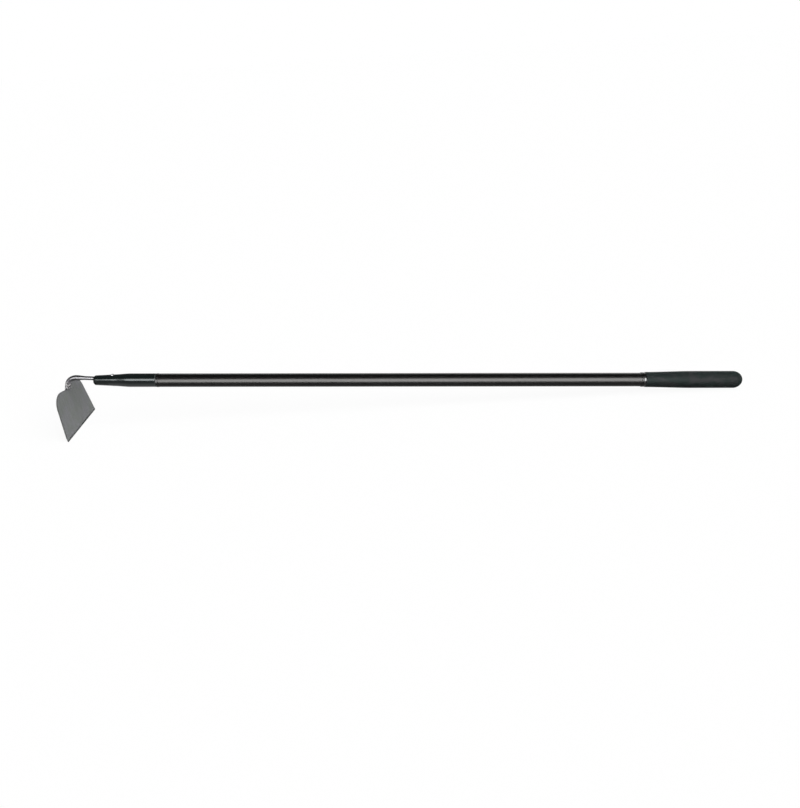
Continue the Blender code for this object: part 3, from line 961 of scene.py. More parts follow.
    def dress(
        self, material: bpy.types.Material, slot: Slot, nodes: Sequence[str], sharp: float
    ) -> None:
        """Give the piece its finish and say which CAD nodes it stands for.

        Args:
            material: its finish.
            slot: its material slot in the record, which is not used.
            nodes: the CAD nodes that it replaces.
            sharp: angle above which an edge shows.
        """
        self.take_up()
        bpy.ops.object.shade_smooth_by_angle(angle=sharp)
        self.shape.data.materials.clear()
        self.shape.data.materials.append(material)
        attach(self.shape, BODY)
        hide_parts(*nodes)
        count = len(self.shape.data.polygons)
        LOG.info("%s: %d faces, for %s", self.shape.name, count, ", ".join(nodes))


@dataclass(frozen=True)
class Hoop:
    """Sizes of a straight band with a bore and rounded outer edges.

    Its support is how far in from each end an extra circle keeps the shading straight. Its spans
    are the equal stretches between those two circles.
    """

    start: float
    end: float
    bore: float
    radius: float
    rounding: float
    support: float
    spans: int = 1
    facets: int = 4

    def turn(self, name: str) -> Workpiece:
        """Turn the band.

        Args:
            name: the piece's name.

        Returns:
            The new piece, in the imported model's frame.
        """
        low, high = self.start + self.support, self.end - self.support
        inner = [low + (high - low) * i / self.spans for i in range(self.spans + 1)]
        outside = [(x, self.radius) for x in (self.start, *inner, self.end)]
        mouth = (self.start, self.bore)
        piece = Workpiece.turned(name, [mouth, *outside, (self.end, self.bore), mouth])
        piece.round_rings([outside[0], outside[-1]], self.rounding, self.facets)
        piece.set_down(STANCE.handle)
        return piece


def swell(share: float) -> float:
    """Smooth step from 0 to 1."""
    return share * share * (3.0 - 2.0 * share)


def dome(base: float, height: float, radius: float, steps: int) -> list[tuple[float, float]]:
    """Quarter of an ellipse, as points of a profile.

    Args:
        base: station of its rim.
        height: how far it rises from there, which is negative toward -X.
        radius: radius of its rim.
        steps: number of stretches from the rim to the axis.

    Returns:
        The (x, radius) pairs, from the rim to the axis.
    """
    angles = [RIGHT_ANGLE * i / steps for i in range(steps)]
    side = [(base + height * math.sin(a), radius * math.cos(a)) for a in angles]
    return [*side, (base + height, 0.0)]


@dataclass(frozen=True)
class Blade:
    """The flat plate with its shoulders, its valley for the rod, and its cutting edge."""

    width: float = 156.52 * MM
    height: float = 93.9 * MM
    thickness: float = 2.0 * MM
    side_taper: float = 9.6 * DEGREE
    shoulder_radius: float = 30.0 * MM
    shoulder_facets: int = 24
    corner_radius: float = 2.2 * MM
    corner_facets: int = 8
    valley_depth: float = 5.2 * MM
    valley_cuts: int = 39
    bevel_height: float = 8.0 * MM
    edge_land: float = 0.8 * MM
    rim_rounding: float = 0.35 * MM
    rim_facets: int = 3
    rim_border: float = 3.4 * MM

    @property
    def valley_height(self) -> float:
        """Height of the valley's floor above the cutting edge."""
        return self.height - self.valley_depth

    @property
    def crown(self) -> float:
        """Half the width at the height of the top edge."""
        return self.width / 2 - self.height * math.tan(self.side_taper)

    @property
    def brow(self) -> float:
        """Half the length of the top edge between the two shoulders."""
        turn = RIGHT_ANGLE - self.side_taper
        return self.crown - self.shoulder_radius * math.tan(turn / 2)

    def build(self) -> None:
        """Cut the plate to its outline, give it thickness, and sharpen it from behind."""
        half = self.width / 2
        plate = Workpiece.sheet("blade_plate", self.width, self.height)
        with plate.editing():
            plate.pick(Pick.VERTICES, lambda v: v.co.z > self.height / 2)
            narrower = (1.0, self.crown / half, 1.0)
            bpy.ops.transform.resize(value=narrower, center_override=(0.0, 0.0, self.height))
            turn = RIGHT_ANGLE - self.side_taper
            self.round_corners(self.shoulder_radius, turn, self.shoulder_facets)
            plate.pick(
                Pick.VERTICES, lambda v: v.co.z < self.height / 2 and abs(v.co.y) > half * 0.9
            )
            turn = RIGHT_ANGLE + self.side_taper
            self.round_corners(self.corner_radius, turn, self.corner_facets)
            self.sink_valley(plate)
            bpy.ops.mesh.select_all(action="SELECT")
            back = (-self.thickness, 0.0, 0.0)
            bpy.ops.mesh.extrude_region_move(TRANSFORM_OT_translate={"value": back})
        plate.tidy_mesh()
        self.sharpen(plate)
        self.soften_rim(plate)
        plate.set_down(STANCE.blade)
        plate.dress(BlastedSteel().material(), Slot.BLADE, ["blade"], 25 * DEGREE)

    @staticmethod
    def round_corners(radius: float, turn: float, facets: int) -> None:
        """Round the selected corners of the outline.

        Args:
            radius: radius of the rounding.
            turn: how far the outline turns at each corner.
            facets: number of facets round each corner.
        """
        bpy.ops.mesh.bevel(
            offset=radius * math.tan(turn / 2),
            offset_type="OFFSET",
            affect="VERTICES",
            segments=facets,
            profile=0.5,
        )

    def sink_valley(self, plate: Workpiece) -> None:
        """Divide the top edge and sink its middle.

        Args:
            plate: the flat outline, in edit mode.
        """
        top = self.height - 0.01 * MM
        plate.pick(
            Pick.EDGES, lambda e: all(v.co.z > top for v in e.verts) and e.calc_length() > 20 * MM
        )
        bpy.ops.mesh.subdivide(number_cuts=self.valley_cuts)
        plate.pick(Pick.VERTICES, lambda v: v.co.z > top and abs(v.co.y) < 0.1 * MM)
        bpy.ops.transform.translate(
            value=(0.0, 0.0, -self.valley_depth),
            use_proportional_edit=True,
            proportional_edit_falloff="SMOOTH",
            proportional_size=self.brow,
        )

    def sharpen(self, plate: Workpiece) -> None:
        """Bisect the back of the plate so that it thins to the land of the cutting edge.

        Args:
            plate: the plate, in the blade's frame.
        """
        slope = math.atan2(self.thickness - self.edge_land, self.bevel_height)
        with plate.editing():
            bpy.ops.mesh.select_all(action="SELECT")
            bpy.ops.mesh.bisect(
                plane_co=(-self.edge_land, 0.0, 0.0),
                plane_no=(-math.cos(slope), 0.0, -math.sin(slope)),
                use_fill=True,
                clear_outer=True,
            )
        plate.tidy_mesh()

    def soften_rim(self, plate: Workpiece) -> None:
        """Round the plate's edges, and mark a border along its sheared rim for the finish.

        Args:
            plate: the sharpened plate, in the blade's frame.
        """
        broad = self.width * self.height / 2
        with plate.editing():
            plate.pick(Pick.EDGES, lambda e: e.is_manifold and e.calc_face_angle() > 50 * DEGREE)
            bpy.ops.mesh.bevel(
                offset=self.rim_rounding,
                offset_type="OFFSET",
                segments=self.rim_facets,
                profile=0.5,
            )
            plate.pick(Pick.FACES, lambda f: f.calc_area() > broad)
            bpy.ops.mesh.inset(thickness=self.rim_border, use_even_offset=True)
            mesh = bmesh.from_edit_mesh(plate.shape.data)
            mask = mesh.verts.layers.float.new(BARE_EDGE)
            for vertex in mesh.verts:
                vertex[mask] = 0.0 if vertex.select else 1.0
            bmesh.update_edit_mesh(plate.shape.data)


@dataclass(frozen=True)
class Gooseneck:
    """The bent rod, from its tang in the sleeve to its foot behind the plate.

    The turn of each of its rings is also the way that the rod heads there: 0 toward -X, and less
    toward -Z.
    """

    blade: Blade
    radius: float = 5.45 * MM
    sides: int = 48
    tang_depth: float = 112.0 * MM
    tang_spans: int = 4
    tang_offset: float = 4.3 * MM
    tang_slope: float = 2.6 * DEGREE
    tang_end_radius: float = 3.4 * MM
    tang_radius: float = 4.1 * MM
    nose_to_taper: float = 16.0 * MM
    taper_steps: int = 12
    nose_to_bend: float = 35.3 * MM
    bend_radius: float = 22.0 * MM
    bend_steps: int = 28
    straight: float = 8.4 * MM
    neck_lean: float = 11.8 * DEGREE
    foot_bend_radius: float = 30.0 * MM
    foot_bend_steps: int = 10
    foot_lap: float = 6.4 * MM
    foot_length: float = 11.0 * MM
    foot_tip_length: float = 5.0 * MM
    foot_tip_radius: float = 3.0 * MM
    foot_tip_rounding: float = 0.4 * MM
    lap_reach: float = 30.0 * MM
    chamfer_stand_out: float = 0.6 * MM
    chamfer_angle: float = 54.0 * DEGREE
    chamfer_reach: float = 25.0 * MM
    chamfer_height: float = 17.0 * MM
    chamfer_depth: float = 1.0 * MM

    @property
    def foot_turn(self) -> float:
        """Angle through which the rod bends back to lie along the plate."""
        return self.neck_lean + STANCE.blade_lean

    @property
    def seat_height(self) -> float:
        """Height above the cutting edge at which the foot's cut ends."""
        return self.blade.valley_height + SEAT_GAP

    def build(self) -> None:
        """Draw the rod along its rings, and cut its foot to lap the plate."""
        rod = self.draw("gooseneck_rod")
        rod.cut(self.lap_cutter())
        rod.cut(self.chamfer_cutter())
        rod.tidy_mesh()
        self.mark(rod)
        rod.set_down(STANCE.handle)
        rod.dress(DrawnSteel().material(), Slot.ROD, ["gooseneck"], 40 * DEGREE)

    def draw(self, name: str, growth: float = 0.0) -> Workpiece:
        """Round bar along the rod's rings.

        Args:
            name: the piece's name.
            growth: how much thicker than the rod it is all round.

        Returns:
            The new piece, in the handle's frame.
        """
        rings = [Ring(r.x, r.radius + growth, r.z, r.turn) for r in self.rings()]
        return Workpiece.bar(name, self.sides, rings)

    def rings(self) -> list[Ring]:
        """Rings of the rod from the tang's end to the foot's tip, in the handle's frame.

        Returns:
            The rings, of which number tang_spans lies at the nose's tip.
        """
        slope = math.tan(self.tang_slope)
        rings = []
        for i in range(self.tang_spans + 1):
            share = i / self.tang_spans
            x = self.tang_depth * (1 - share)
            radius = self.tang_end_radius + (self.tang_radius - self.tang_end_radius) * share
            rings.append(Ring(x, radius, self.tang_offset - x * slope, self.tang_slope))
        for i in range(self.taper_steps + 1):
            share = i / self.taper_steps
            out = self.nose_to_taper + (self.nose_to_bend - self.nose_to_taper) * share
            radius = self.tang_radius + (self.radius - self.tang_radius) * swell(share)
            rings.append(Ring(-out, radius, self.tang_offset + out * slope, self.tang_slope))
        neck_turn = RIGHT_ANGLE - self.neck_lean + self.tang_slope
        self._dive(rings, neck_turn, self.bend_radius, self.bend_steps)
        self._go(rings, self.straight)
        self._dive(rings, self.foot_turn, self.foot_bend_radius, self.foot_bend_steps)
        self._go(rings, self.foot_length - self.foot_tip_length)
        rounding = self.foot_tip_rounding
        self._go(rings, self.foot_tip_length - rounding, self.foot_tip_radius + rounding / 2)
        self._go(rings, rounding, self.foot_tip_radius - rounding / 2)
        return rings

    @staticmethod
    def _go(rings: list[Ring], length: float, radius: Optional[float] = None) -> None:
        """Add a ring straight ahead.

        Args:
            rings: the rings so far.
            length: how far ahead it lies.
            radius: its radius, which is the last ring's if none is given.
        """
        last = rings[-1]
        x = last.x - length * math.cos(last.turn)
        z = last.z + length * math.sin(last.turn)
        rings.append(Ring(x, radius or last.radius, z, last.turn))

    @staticmethod
    def _dive(rings: list[Ring], angle: float, radius: float, steps: int) -> None:
        """Add the rings of a bend toward -Z.

        Args:
            rings: the rings so far.
            angle: how far the rod turns.
            radius: bend radius of the centre line.
            steps: number of rings.
        """
        start = rings[-1]
        hub_x = start.x - radius * math.sin(start.turn)
        hub_z = start.z - radius * math.cos(start.turn)
        for i in range(1, steps + 1):
            turn = start.turn - angle * i / steps
            x = hub_x + radius * math.sin(turn)
            z = hub_z + radius * math.cos(turn)
            rings.append(Ring(x, start.radius, z, turn))

    def lap_cutter(self) -> Workpiece:
        """Block that clears the foot from the plate's side.

        Returns:
            The block, in the handle's frame.
        """
        reach = self.lap_reach
        low = (-self.blade.thickness - SEAT_GAP, -reach, -self.blade.height)
        block = Workpiece.block("lap_cutter", low, (reach, reach, self.seat_height))
        block.set_down(STANCE.blade_on_handle)
        return block

    def chamfer_cutter(self) -> Workpiece:
        """Block that slopes the front of the foot away above the plate.

        Returns:
            The block, in the handle's frame.
        """
        reach = self.chamfer_reach
        low, high = (0.0, -reach, -self.chamfer_depth), (reach, reach, self.chamfer_height)
        block = Workpiece.block("chamfer_cutter", low, high)
        pivot = Matrix.Translation((self.chamfer_stand_out, 0.0, self.seat_height))
        tilt = Matrix.Rotation(self.chamfer_angle, 4, "Y")
        block.set_down(STANCE.blade_on_handle @ pivot @ tilt)
        return block

    def mark(self, rod: Workpiece) -> None:
        """Store each vertex's place on the rod as if it were straight: along, and in its section.

        Args:
            rod: the finished rod, in the handle's frame.
        """
        line = [Vector((ring.x, 0.0, ring.z)) for ring in self.rings()]
        lengths = [0.0]
        for a, b in zip(line, line[1:]):
            lengths.append(lengths[-1] + (b - a).length)
        nose_tip = lengths[self.tang_spans]
        data = rod.shape.data
        store = data.attributes.new(ROD_PLACE, "FLOAT_VECTOR", "POINT")
        for vertex in data.vertices:
            flat = Vector((vertex.co.x, 0.0, vertex.co.z))
            nearest = math.inf
            for start, a, b in zip(lengths, line, line[1:]):
                span = b - a
                share = min(1.0, max(0.0, (flat - a).dot(span) / span.length_squared))
                off = flat - (a + span * share)
                if off.length < nearest:
                    nearest = off.length
                    along = start + span.length * share - nose_tip
                    up = off.dot(Vector((-span.z, 0.0, span.x)).normalized())
            store.data[vertex.index].vector = (along, vertex.co.y, up)


@dataclass(frozen=True)
class Welds:
    """The weld beads: one round the front of the foot, and one down each side of it behind."""

    blade: Blade
    rod: Gooseneck
    front_radius: float = 3.35 * MM
    front_sink: float = 1.0 * MM
    front_rise: float = 2.0 * MM
    front_wrap: float = 104.0 * DEGREE
    back_radius: float = 2.2 * MM
    back_sink: float = 1.3 * MM
    back_stand_out: float = 0.7 * MM
    back_length: float = 17.0 * MM
    sides: int = 20
    ripple_pitch: float = 1.7 * MM
    ripple_depth: float = 0.16
    ripple_steps: int = 5
    end_fullness: float = 0.03
    lump_depth: float = 0.22 * MM
    lump_size: float = 1.3 * MM

    def build(self) -> None:
        """Model and dress the three beads."""
        metal = WeldMetal().material()
        self.lay_front(metal)
        self.lay_back(metal, -1, "left")
        self.lay_back(metal, 1, "right")

    def lay_front(self, metal: bpy.types.Material) -> None:
        """Lay the bead round the front and the sides of the foot.

        Args:
            metal: the weld's finish.
        """
        arc = self.rod.radius - self.front_sink

        def path(along: float) -> tuple[float, float, float]:
            """Arc about the rod's middle, with its ends toward -X."""
            angle = along / arc - self.front_wrap
            return arc * math.cos(angle), arc * math.sin(angle), -angle - RIGHT_ANGLE

        length = 2 * self.front_wrap * arc
        bead = self.bead("weld_bead_front", self.front_radius, length, path)
        height = self.rod.seat_height + self.front_rise
        above_lap = height - self.blade.valley_height + self.rod.foot_lap
        middle = -self.blade.thickness + above_lap * math.tan(self.rod.foot_turn)
        flat = Matrix.Rotation(-RIGHT_ANGLE, 4, "X")
        bead.set_down(STANCE.blade @ Matrix.Translation((middle, 0.0, height)) @ flat)
        bead.dress(metal, Slot.WELD, ["weld_front"], 80 * DEGREE)

    def lay_back(self, metal: bpy.types.Material, side: int, hand: str) -> None:
        """Lay the bead along one side of the foot on the back of the plate.

        Args:
            metal: the weld's finish.
            side: -1 or 1, the side of the rod on Y.
            hand: the name of that side.
        """
        rod = self.rod
        bend = rod.foot_bend_radius * math.tan(rod.foot_turn / 2)
        bead = self.bead(
            "weld_bead_" + hand, self.back_radius, self.back_length, lambda along: (along, 0.0, 0.0)
        )
        out = -self.blade.thickness - self.back_stand_out
        across = side * (rod.radius + self.back_radius - self.back_sink)
        foot_end = self.blade.valley_height - rod.foot_lap - bend - rod.foot_length
        place = Matrix.Translation((out, across, foot_end + rod.foot_tip_length))
        bead.set_down(STANCE.blade @ place @ Matrix.Rotation(-RIGHT_ANGLE, 4, "Y"))
        bead.dress(metal, Slot.WELD, ["weld_back_" + hand], 80 * DEGREE)

    def bead(
        self,
        name: str,
        radius: float,
        length: float,
        path: Callable[[float], tuple[float, float, float]],
    ) -> Workpiece:
        """Weld bead whose molten ripples overlap one another.

        Args:
            name: the piece's name.
            radius: half the bead's width.
            length: its length.
            path: the x, z and turn of its centre line at a distance from its start.

        Returns:
            The closed bead, with the lumps of metal that froze as it ran.
        """
        count = round(length / self.ripple_pitch) * self.ripple_steps
        rings = []
        for i in range(count + 1):
            along = length * i / count
            inset = max(0.0, 1.0 - min(along, length - along) / radius)
            fullness = math.sqrt(max(self.end_fullness, 1.0 - inset * inset))
            crest = 1.0 - self.ripple_depth * (along / self.ripple_pitch % 1.0) ** 1.5
            x, z, turn = path(along)
            rings.append(Ring(x, radius * crest * fullness, z, turn))
        piece = Workpiece.bar(name, self.sides, rings)
        piece.froth(self.lump_depth, self.lump_size)
        return piece


@dataclass(frozen=True)
class Nose:
    """The moulded sleeve with its rivet, and the ring behind it.

    The support sizes are how far from an edge or a rounding an extra circle keeps the shading
    straight.
    """

    rod: Gooseneck
    length: float = 131.6 * MM
    tip_radius: float = 10.15 * MM
    tip_rounding: float = 4.8 * MM
    tip_support: float = 1.2 * MM
    tip_facets: int = 10
    cone_length: float = 48.0 * MM
    cone_radius: float = 12.45 * MM
    cone_support: float = 3.0 * MM
    shoulder_length: float = 29.0 * MM
    shoulder_steps: int = 14
    tube_radius: float = 14.3 * MM
    rear_support: float = 2.0 * MM
    rear_rounding: float = 0.6 * MM
    spigot_radius: float = 11.1 * MM
    spigot_end: float = 180.6 * MM
    spigot_lead_in: float = 1.5 * MM
    core_radius: float = 7.5 * MM
    core_floor: float = 104.6 * MM
    painted_rim_width: float = 1.5 * MM
    spot_radius: float = 3.8 * MM
    rivet_station: float = 40.2 * MM
    rivet_seat: float = 11.676 * MM
    rivet_shank: float = 2.0 * MM
    rivet_head: float = 3.3 * MM
    rivet_head_height: float = 2.6 * MM
    rivet_tail_height: float = 1.5 * MM
    rivet_tail_flat: float = 0.3 * MM
    rivet_steps: int = 10
    rivet_sides: int = 48
    cutter_reach: float = 20.0 * MM
    ring: Hoop = Hoop(
        start=131.9 * MM,
        end=136.3 * MM,
        bore=11.4 * MM,
        radius=14.65 * MM,
        rounding=0.5 * MM,
        support=1.0 * MM,
    )

    def build(self) -> None:
        """Model and dress the nose's pieces."""
        self.make_sleeve()
        self.make_rivet()
        finish = MouldedPlastic("ring_plastic", (0.0016, 0.0016, 0.0016), 0.32, 0.10, 0.006 * MM)
        ring = self.ring.turn("shaft_ring")
        ring.dress(finish.material(), Slot.RING, ["joint_ring"], 30 * DEGREE)

    def radius_at(self, x: float) -> float:
        """Outer radius of the sleeve: a cone that swells smoothly into a tube.

        Args:
            x: the station on the handle.

        Returns:
            The radius there.
        """
        slope = (self.cone_radius - self.tip_radius) / self.cone_length
        if x <= self.cone_length:
            return self.tip_radius + slope * x
        share = min(1.0, (x - self.cone_length) / self.shoulder_length)
        carried_on = slope * self.shoulder_length * share * (1.0 - share) ** 2
        return self.cone_radius + (self.tube_radius - self.cone_radius) * swell(share) + carried_on

    def sleeve_profile(self) -> list[tuple[float, float]]:
        """Section of the sleeve with its spigot and its hollow core.

        Returns:
            The (x, radius) pairs, from the tip round to the core's floor on the axis.
        """
        stations = [0.0, self.tip_rounding + self.tip_support]
        stations += [self.cone_length / 2, self.cone_length - self.cone_support]
        steps = self.shoulder_steps
        stations += [self.cone_length + self.shoulder_length * i / steps for i in range(steps + 1)]
        stations += [self.length - self.rear_support, self.length]
        lead_in = self.spigot_lead_in
        return [
            *((x, self.radius_at(x)) for x in stations),
            (self.length, self.spigot_radius),
            (self.spigot_end - lead_in, self.spigot_radius),
            (self.spigot_end, self.spigot_radius - lead_in),
            (self.spigot_end, self.core_radius),
            (self.core_floor, self.core_radius),
            (self.core_floor, 0.0),
        ]

    def make_sleeve(self) -> None:
        """Turn the sleeve, round its tip, and open it for the tang and the rivet."""
        sleeve = Workpiece.turned("nose_moulding", self.sleeve_profile())
        sleeve.round_rings([(0.0, self.tip_radius)], self.tip_rounding, self.tip_facets)
        sleeve.round_rings([(self.length, self.tube_radius)], self.rear_rounding)
        sleeve.cut(self.rod.draw("tang_cutter", SEAT_GAP))
        reach, floor = self.cutter_reach, self.rivet_seat - SEAT_GAP
        hole_radius = self.rivet_shank + SEAT_GAP
        for name, radius, low, high in (
            ("upper_spot_cutter", self.spot_radius, floor, reach),
            ("lower_spot_cutter", self.spot_radius, -reach, -floor),
            ("hole_cutter", hole_radius, -reach, reach),
        ):
            sleeve.cut(Workpiece.pin(name, self.rivet_station, radius, low, high))
        sleeve.tidy_mesh()
        sleeve.set_down(STANCE.handle)
        finish = MouldedPlastic(
            "sleeve_plastic",
            (0.0026, 0.0052, 0.0051),
            roughness=0.14,
            shine=0.200,
            grain_depth=0.010 * MM,
            gloss_tint=(0.94, 1.0, 1.0),
            painted_rim_from=self.length - self.painted_rim_width,
            parting_line=True,
        )
        sleeve.dress(finish.material(), Slot.SLEEVE, ["nose_sleeve"], 30 * DEGREE)

    def make_rivet(self) -> None:
        """Rivet with a domed head on top and a flatter one below."""
        seat = self.rivet_seat
        tail = dome(-seat, -self.rivet_tail_height, self.rivet_head, self.rivet_steps)
        profile = [
            (tail[-1][0], self.rivet_tail_flat),
            *reversed(tail[:-1]),
            (-seat, self.rivet_shank),
            (seat, self.rivet_shank),
            *dome(seat, self.rivet_head_height, self.rivet_head, self.rivet_steps),
        ]
        rivet = Workpiece.turned("rivet_with_heads", profile, self.rivet_sides)
        station = Matrix.Translation((self.rivet_station, 0.0, 0.0))
        upright = station @ Matrix.Rotation(-RIGHT_ANGLE, 4, "Y")
        rivet.set_down(STANCE.handle @ upright)
        rivet.dress(BrightMetal().material(), Slot.RIVET, ["nose_rivet"], 50 * DEGREE)


@dataclass(frozen=True)
class Shaft:
    """The straight hollow shaft."""

    tube: Hoop = Hoop(
        start=136.6 * MM,
        end=1340.1 * MM,
        bore=11.4 * MM,
        radius=14.3 * MM,
        rounding=0.3 * MM,
        support=1.2 * MM,
        spans=24,
        facets=3,
    )

    def build(self) -> None:
        """Model and dress the shaft."""
        tube = self.tube.turn("shaft_tube")
        tube.dress(ShaftLaminate().material(), Slot.SHAFT, ["handle_tube"], 30 * DEGREE)


@dataclass(frozen=True)
class Grip:
    """The soft grip with the collar at its mouth."""

    start: float = 1155.5 * MM
    end: float = 1359.55 * MM
    mouth_radius: float = 15.85 * MM
    mouth_rounding: float = 0.8 * MM
    mouth_support: float = 1.6 * MM
    swell_length: float = 100.0 * MM
    swell_steps: int = 30
    body_radius: float = 17.75 * MM
    body_steps: int = 16
    dome_length: float = 19.5 * MM
    dome_steps: int = 20
    cavity_radius: float = 14.6 * MM
    cavity_end: float = 1343.2 * MM
    collar: Hoop = Hoop(
        start=1147.2 * MM,
        end=1155.2 * MM,
        bore=14.6 * MM,
        radius=15.3 * MM,
        rounding=0.65 * MM,
        support=1.3 * MM,
    )
    polished_share: float = 0.60

    def build(self) -> None:
        """Model and dress the grip's pieces."""
        self.make_collar()
        self.make_foam()
        self.finish_plug()

    def make_collar(self) -> None:
        """Collar in front of the foam, polished on the side toward it."""
        width = self.collar.end - self.collar.start
        finish = MouldedPlastic(
            "collar_plastic",
            (0.0016, 0.0016, 0.0016),
            roughness=0.30,
            shine=0.10,
            grain_depth=0.004 * MM,
            polished_from=self.collar.start + width * self.polished_share,
            gloss_coat=0.40,
        )
        collar = self.collar.turn("grip_collar_ring")
        collar.dress(finish.material(), Slot.RING, ["grip_collar"], 30 * DEGREE)

    def foam_profile(self) -> list[tuple[float, float]]:
        """Section of the foam sleeve: cavity, mouth, swelling, straight body and dome.

        Returns:
            The (x, radius) pairs, from the cavity's end round to the dome's top on the axis.
        """
        profile = [
            (self.cavity_end, self.cavity_radius),
            (self.start, self.cavity_radius),
            (self.start, self.mouth_radius),
            (self.start + self.mouth_support, self.mouth_radius),
        ]
        for i in range(1, self.swell_steps + 1):
            share = i / self.swell_steps
            radius = self.mouth_radius + (self.body_radius - self.mouth_radius) * swell(share)
            profile.append((self.start + self.swell_length * share, radius))
        body = self.start + self.swell_length
        base = self.end - self.dome_length
        for i in range(1, self.body_steps):
            profile.append((body + (base - body) * i / self.body_steps, self.body_radius))
        return profile + dome(base, self.dome_length, self.body_radius, self.dome_steps)

    def make_foam(self) -> None:
        """Foam sleeve that swells from its mouth and ends in a dome."""
        foam = Workpiece.turned("cushion_foam", self.foam_profile())
        foam.round_rings([(self.start, self.mouth_radius)], self.mouth_rounding)
        foam.set_down(STANCE.handle)
        foam.dress(GripFoam().material(), Slot.GRIP, ["cushion_grip"], 40 * DEGREE)

    @staticmethod
    def finish_plug() -> None:
        """Give the hidden plug its plain moulded finish."""
        plug = bpy.data.objects["tube_end_plug"]
        finish = MouldedPlastic("plug_plastic", (0.020, 0.020, 0.020), roughness=0.45, shine=0.5)
        plug.data.materials.clear()
        plug.data.materials.append(finish.material())
        LOG.info("tube_end_plug: kept from the frame")


@dataclass(frozen=True)
class Card:
    """Long reflector card along the handle, which only the gloss of some pieces shows.

    Its left and right ends are world X. Its lower and upper edges are angles above the horizon in
    front, past a right angle for a card behind, as seen from the handle at a station. Its reach is
    its distance from there, and its roll turns it in its own plane.
    """

    name: str
    pieces: tuple[str, ...]
    station: float
    left: float
    right: float
    lower: float
    upper: float
    reach: float
    radiance: float
    roll: float = 5.0 * DEGREE

    def hang(self) -> None:
        """Add the card and link it to the pieces that it lights."""
        tilt = (self.lower + self.upper) / 2
        across = (self.left + self.right) / 2
        on_axis = STANCE.handle @ Vector((self.station, 0.0, 0.0))
        aim = Vector((across, 0.0, on_axis.z))
        place = aim + Vector((0.0, -math.cos(tilt), math.sin(tilt))) * self.reach
        data = bpy.data.lights.new(self.name, "AREA")
        data.shape = "RECTANGLE"
        data.size = self.right - self.left
        data.size_y = 2 * self.reach * math.tan((self.upper - self.lower) / 2)
        data.energy = self.radiance * math.pi * data.size * data.size_y
        lamp = bpy.data.objects.new(self.name, data)
        bpy.context.scene.collection.objects.link(lamp)
        lamp.location = place
        lamp.rotation_mode = "QUATERNION"
        facing = (aim - place).to_track_quat("-Z", "Y")
        lamp.rotation_quaternion = facing @ Quaternion((0.0, 0.0, 1.0), self.roll)
        lamp.visible_camera = False
        lamp.visible_diffuse = False
        receivers = bpy.data.collections.new(self.name + "_receivers")
        for piece in self.pieces:
            receivers.objects.link(bpy.data.objects[piece])
        lamp.light_linking.receiver_collection = receivers


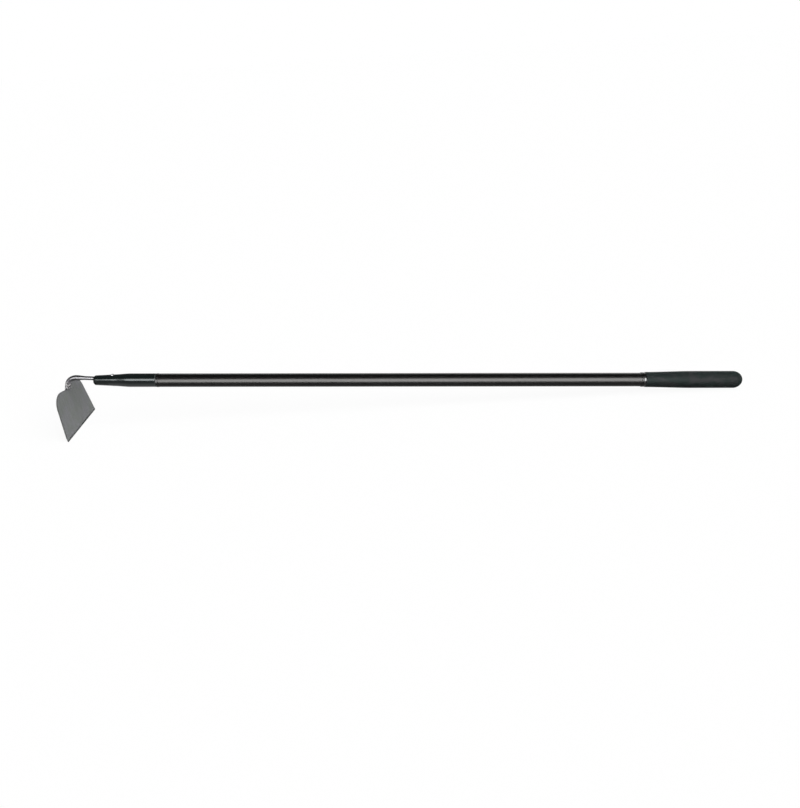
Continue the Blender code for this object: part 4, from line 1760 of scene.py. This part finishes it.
@dataclass(frozen=True)
class Studio:
    """Floor, world, lamps and the camera of the photograph.

    The pixel is its size in metres at the handle's axis. The centre, the nose tip's column and the
    axis's row are places in the picture, in pixels.
    """

    pixel: float = 2.1 * MM
    picture_centre: tuple[float, float] = (400.0, 404.0)
    picture_height: float = 808.0
    nose_tip_column: float = 94.3
    axis_row: float = 379.84
    focal_pixels: float = 768.0
    look_down: float = 25.76 * DEGREE
    roll: float = 0.073 * DEGREE
    sensor: float = 36.0
    farthest_seen: float = 50.0
    floor_size: float = 60.0
    floor_colour: Colour = (0.08, 0.08, 0.08)
    floor_glow: float = 0.925
    sky_level: float = 0.22
    horizon_from: float = 0.22
    horizon_full: float = 0.04
    key_level: float = 1.0
    key_direction: Point = (0.52, -0.50, 0.69)
    key_softness: float = 70.0 * DEGREE

    def build(self) -> None:
        """Set up all that is round the hoe."""
        self.make_camera()
        self.make_floor()
        self.make_world()
        self.make_key()
        bpy.context.scene.view_settings.view_transform = "Standard"
        # Lamps that are linked to a few pieces come out grainy through the light tree.
        bpy.context.scene.cycles.use_light_tree = False

    def make_camera(self) -> None:
        """Place the camera where the photograph was taken from."""
        along = Vector((1.0, 0.0, 0.0))
        down = Vector((0.0, math.cos(self.look_down), -math.sin(self.look_down)))
        up = Vector((0.0, math.sin(self.look_down), math.cos(self.look_down)))
        right = along * math.cos(self.roll) - up * math.sin(self.roll)
        top = along * math.sin(self.roll) + up * math.cos(self.roll)
        side = (self.picture_centre[0] - self.nose_tip_column) * self.pixel
        rise = (self.picture_centre[1] - self.axis_row) * self.pixel
        place = along * side - up * rise - down * self.focal_pixels * self.pixel
        data = bpy.data.cameras.new("photo_camera")
        data.sensor_width = self.sensor
        data.sensor_fit = "AUTO"
        data.lens = self.focal_pixels / self.picture_height * self.sensor
        data.clip_end = self.farthest_seen
        camera = bpy.data.objects.new("photo_camera", data)
        bpy.context.scene.collection.objects.link(camera)
        turn = Matrix((right, top, -down)).transposed().to_4x4()
        camera.matrix_world = STANCE.handle @ Matrix.Translation(place) @ turn
        bpy.context.scene.camera = camera

    def make_floor(self) -> None:
        """Wide pale floor, white to the eye and in reflections, that keeps a soft shadow."""
        Workpiece.clear_selection()
        bpy.ops.mesh.primitive_plane_add(size=self.floor_size, location=(0.0, 0.0, 0.0))
        floor = bpy.context.active_object
        floor.name = "studio_floor"
        g = ShaderGraph("studio_floor")
        camera, mirrored = g.onlookers()
        glow = g.finish(
            Base_Color=self.floor_colour,
            Roughness=1.0,
            Specular_IOR_Level=0.0,
            Emission_Color=WHITE,
            Emission_Strength=camera.at_least(mirrored) * self.floor_glow,
        )
        floor.data.materials.append(glow)

    def make_world(self) -> None:
        """World of a plain level, white to the camera and along the horizon in reflections."""
        world = bpy.data.worlds.new("studio_world")
        bpy.context.scene.world = world
        world.use_nodes = True
        background = world.node_tree.nodes["Background"]
        g = NodeGraph(world.node_tree)
        camera, mirrored = g.onlookers()
        up = g.axes(g.node("ShaderNodeTexCoord", {}, {}, "Generated"))[2]
        horizon = up.rise(self.horizon_from, self.horizon_full)
        white = camera.at_least(mirrored * horizon)
        g.feed(background.inputs["Strength"], white * (1.0 - self.sky_level) + self.sky_level)
        g.feed(background.inputs["Color"], WHITE)

    def make_key(self) -> None:
        """One even soft key, which shows in no gloss."""
        key = bpy.data.lights.new("soft_key", "SUN")
        key.energy = self.key_level * math.pi
        key.angle = self.key_softness
        lamp = bpy.data.objects.new("soft_key", key)
        bpy.context.scene.collection.objects.link(lamp)
        lamp.rotation_mode = "QUATERNION"
        lamp.rotation_quaternion = (-Vector(self.key_direction)).to_track_quat("-Z", "Y")
        lamp.visible_glossy = False

    @staticmethod
    def hang_cards() -> None:
        """Hang the reflector cards along the finished hoe."""
        welds = ("weld_bead_front", "weld_bead_left", "weld_bead_right")
        steel = ("gooseneck_rod", *welds, "rivet_with_heads")
        nose = ("nose_moulding",)
        shaft = ("shaft_tube", "shaft_ring")
        grip = ("grip_collar_ring", "cushion_foam")
        high = dict(lower=17 * DEGREE, upper=45 * DEGREE, reach=1.40)
        wide = dict(station=0.70, left=-1.10, right=1.02, upper=41 * DEGREE)
        under = dict(lower=-78 * DEGREE, upper=-30 * DEGREE, reach=0.095, roll=0.0)
        behind = dict(lower=143 * DEGREE, upper=172 * DEGREE, reach=1.00, roll=0.0)
        for card in (
            Card("head_card", steel, 0.0, -1.80, -0.30, 4 * DEGREE, 40 * DEGREE, 1.40, 7.0),
            Card("cone_card", nose, 0.05, -1.70, -1.24, radiance=3.1, **high),
            Card("nose_card", nose, 0.10, -1.24, -0.60, radiance=19.2, **high),
            Card("floor_card", nose, 0.08, -0.66, -0.49, radiance=0.80, **under),
            Card("shaft_card", shaft, lower=-14 * DEGREE, reach=0.54, radiance=34.0, **wide),
            Card("grip_card", grip, lower=-5 * DEGREE, reach=0.90, radiance=36.0, **wide),
            Card("back_card", shaft + grip, 0.60, -1.20, 1.20, radiance=3.5, **behind),
        ):
            card.hang()


def main() -> None:
    """Load the frame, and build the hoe's pieces round it."""
    logging.basicConfig(level=logging.INFO, format="%(message)s")
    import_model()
    studio = Studio()
    studio.build()
    blade = Blade()
    rod = Gooseneck(blade)
    for assembly in (blade, rod, Welds(blade, rod), Nose(rod), Shaft(), Grip()):
        assembly.build()
        LOG.info("%s is built", type(assembly).__name__)
    studio.hang_cards()


if __name__ == "__main__":
    main()
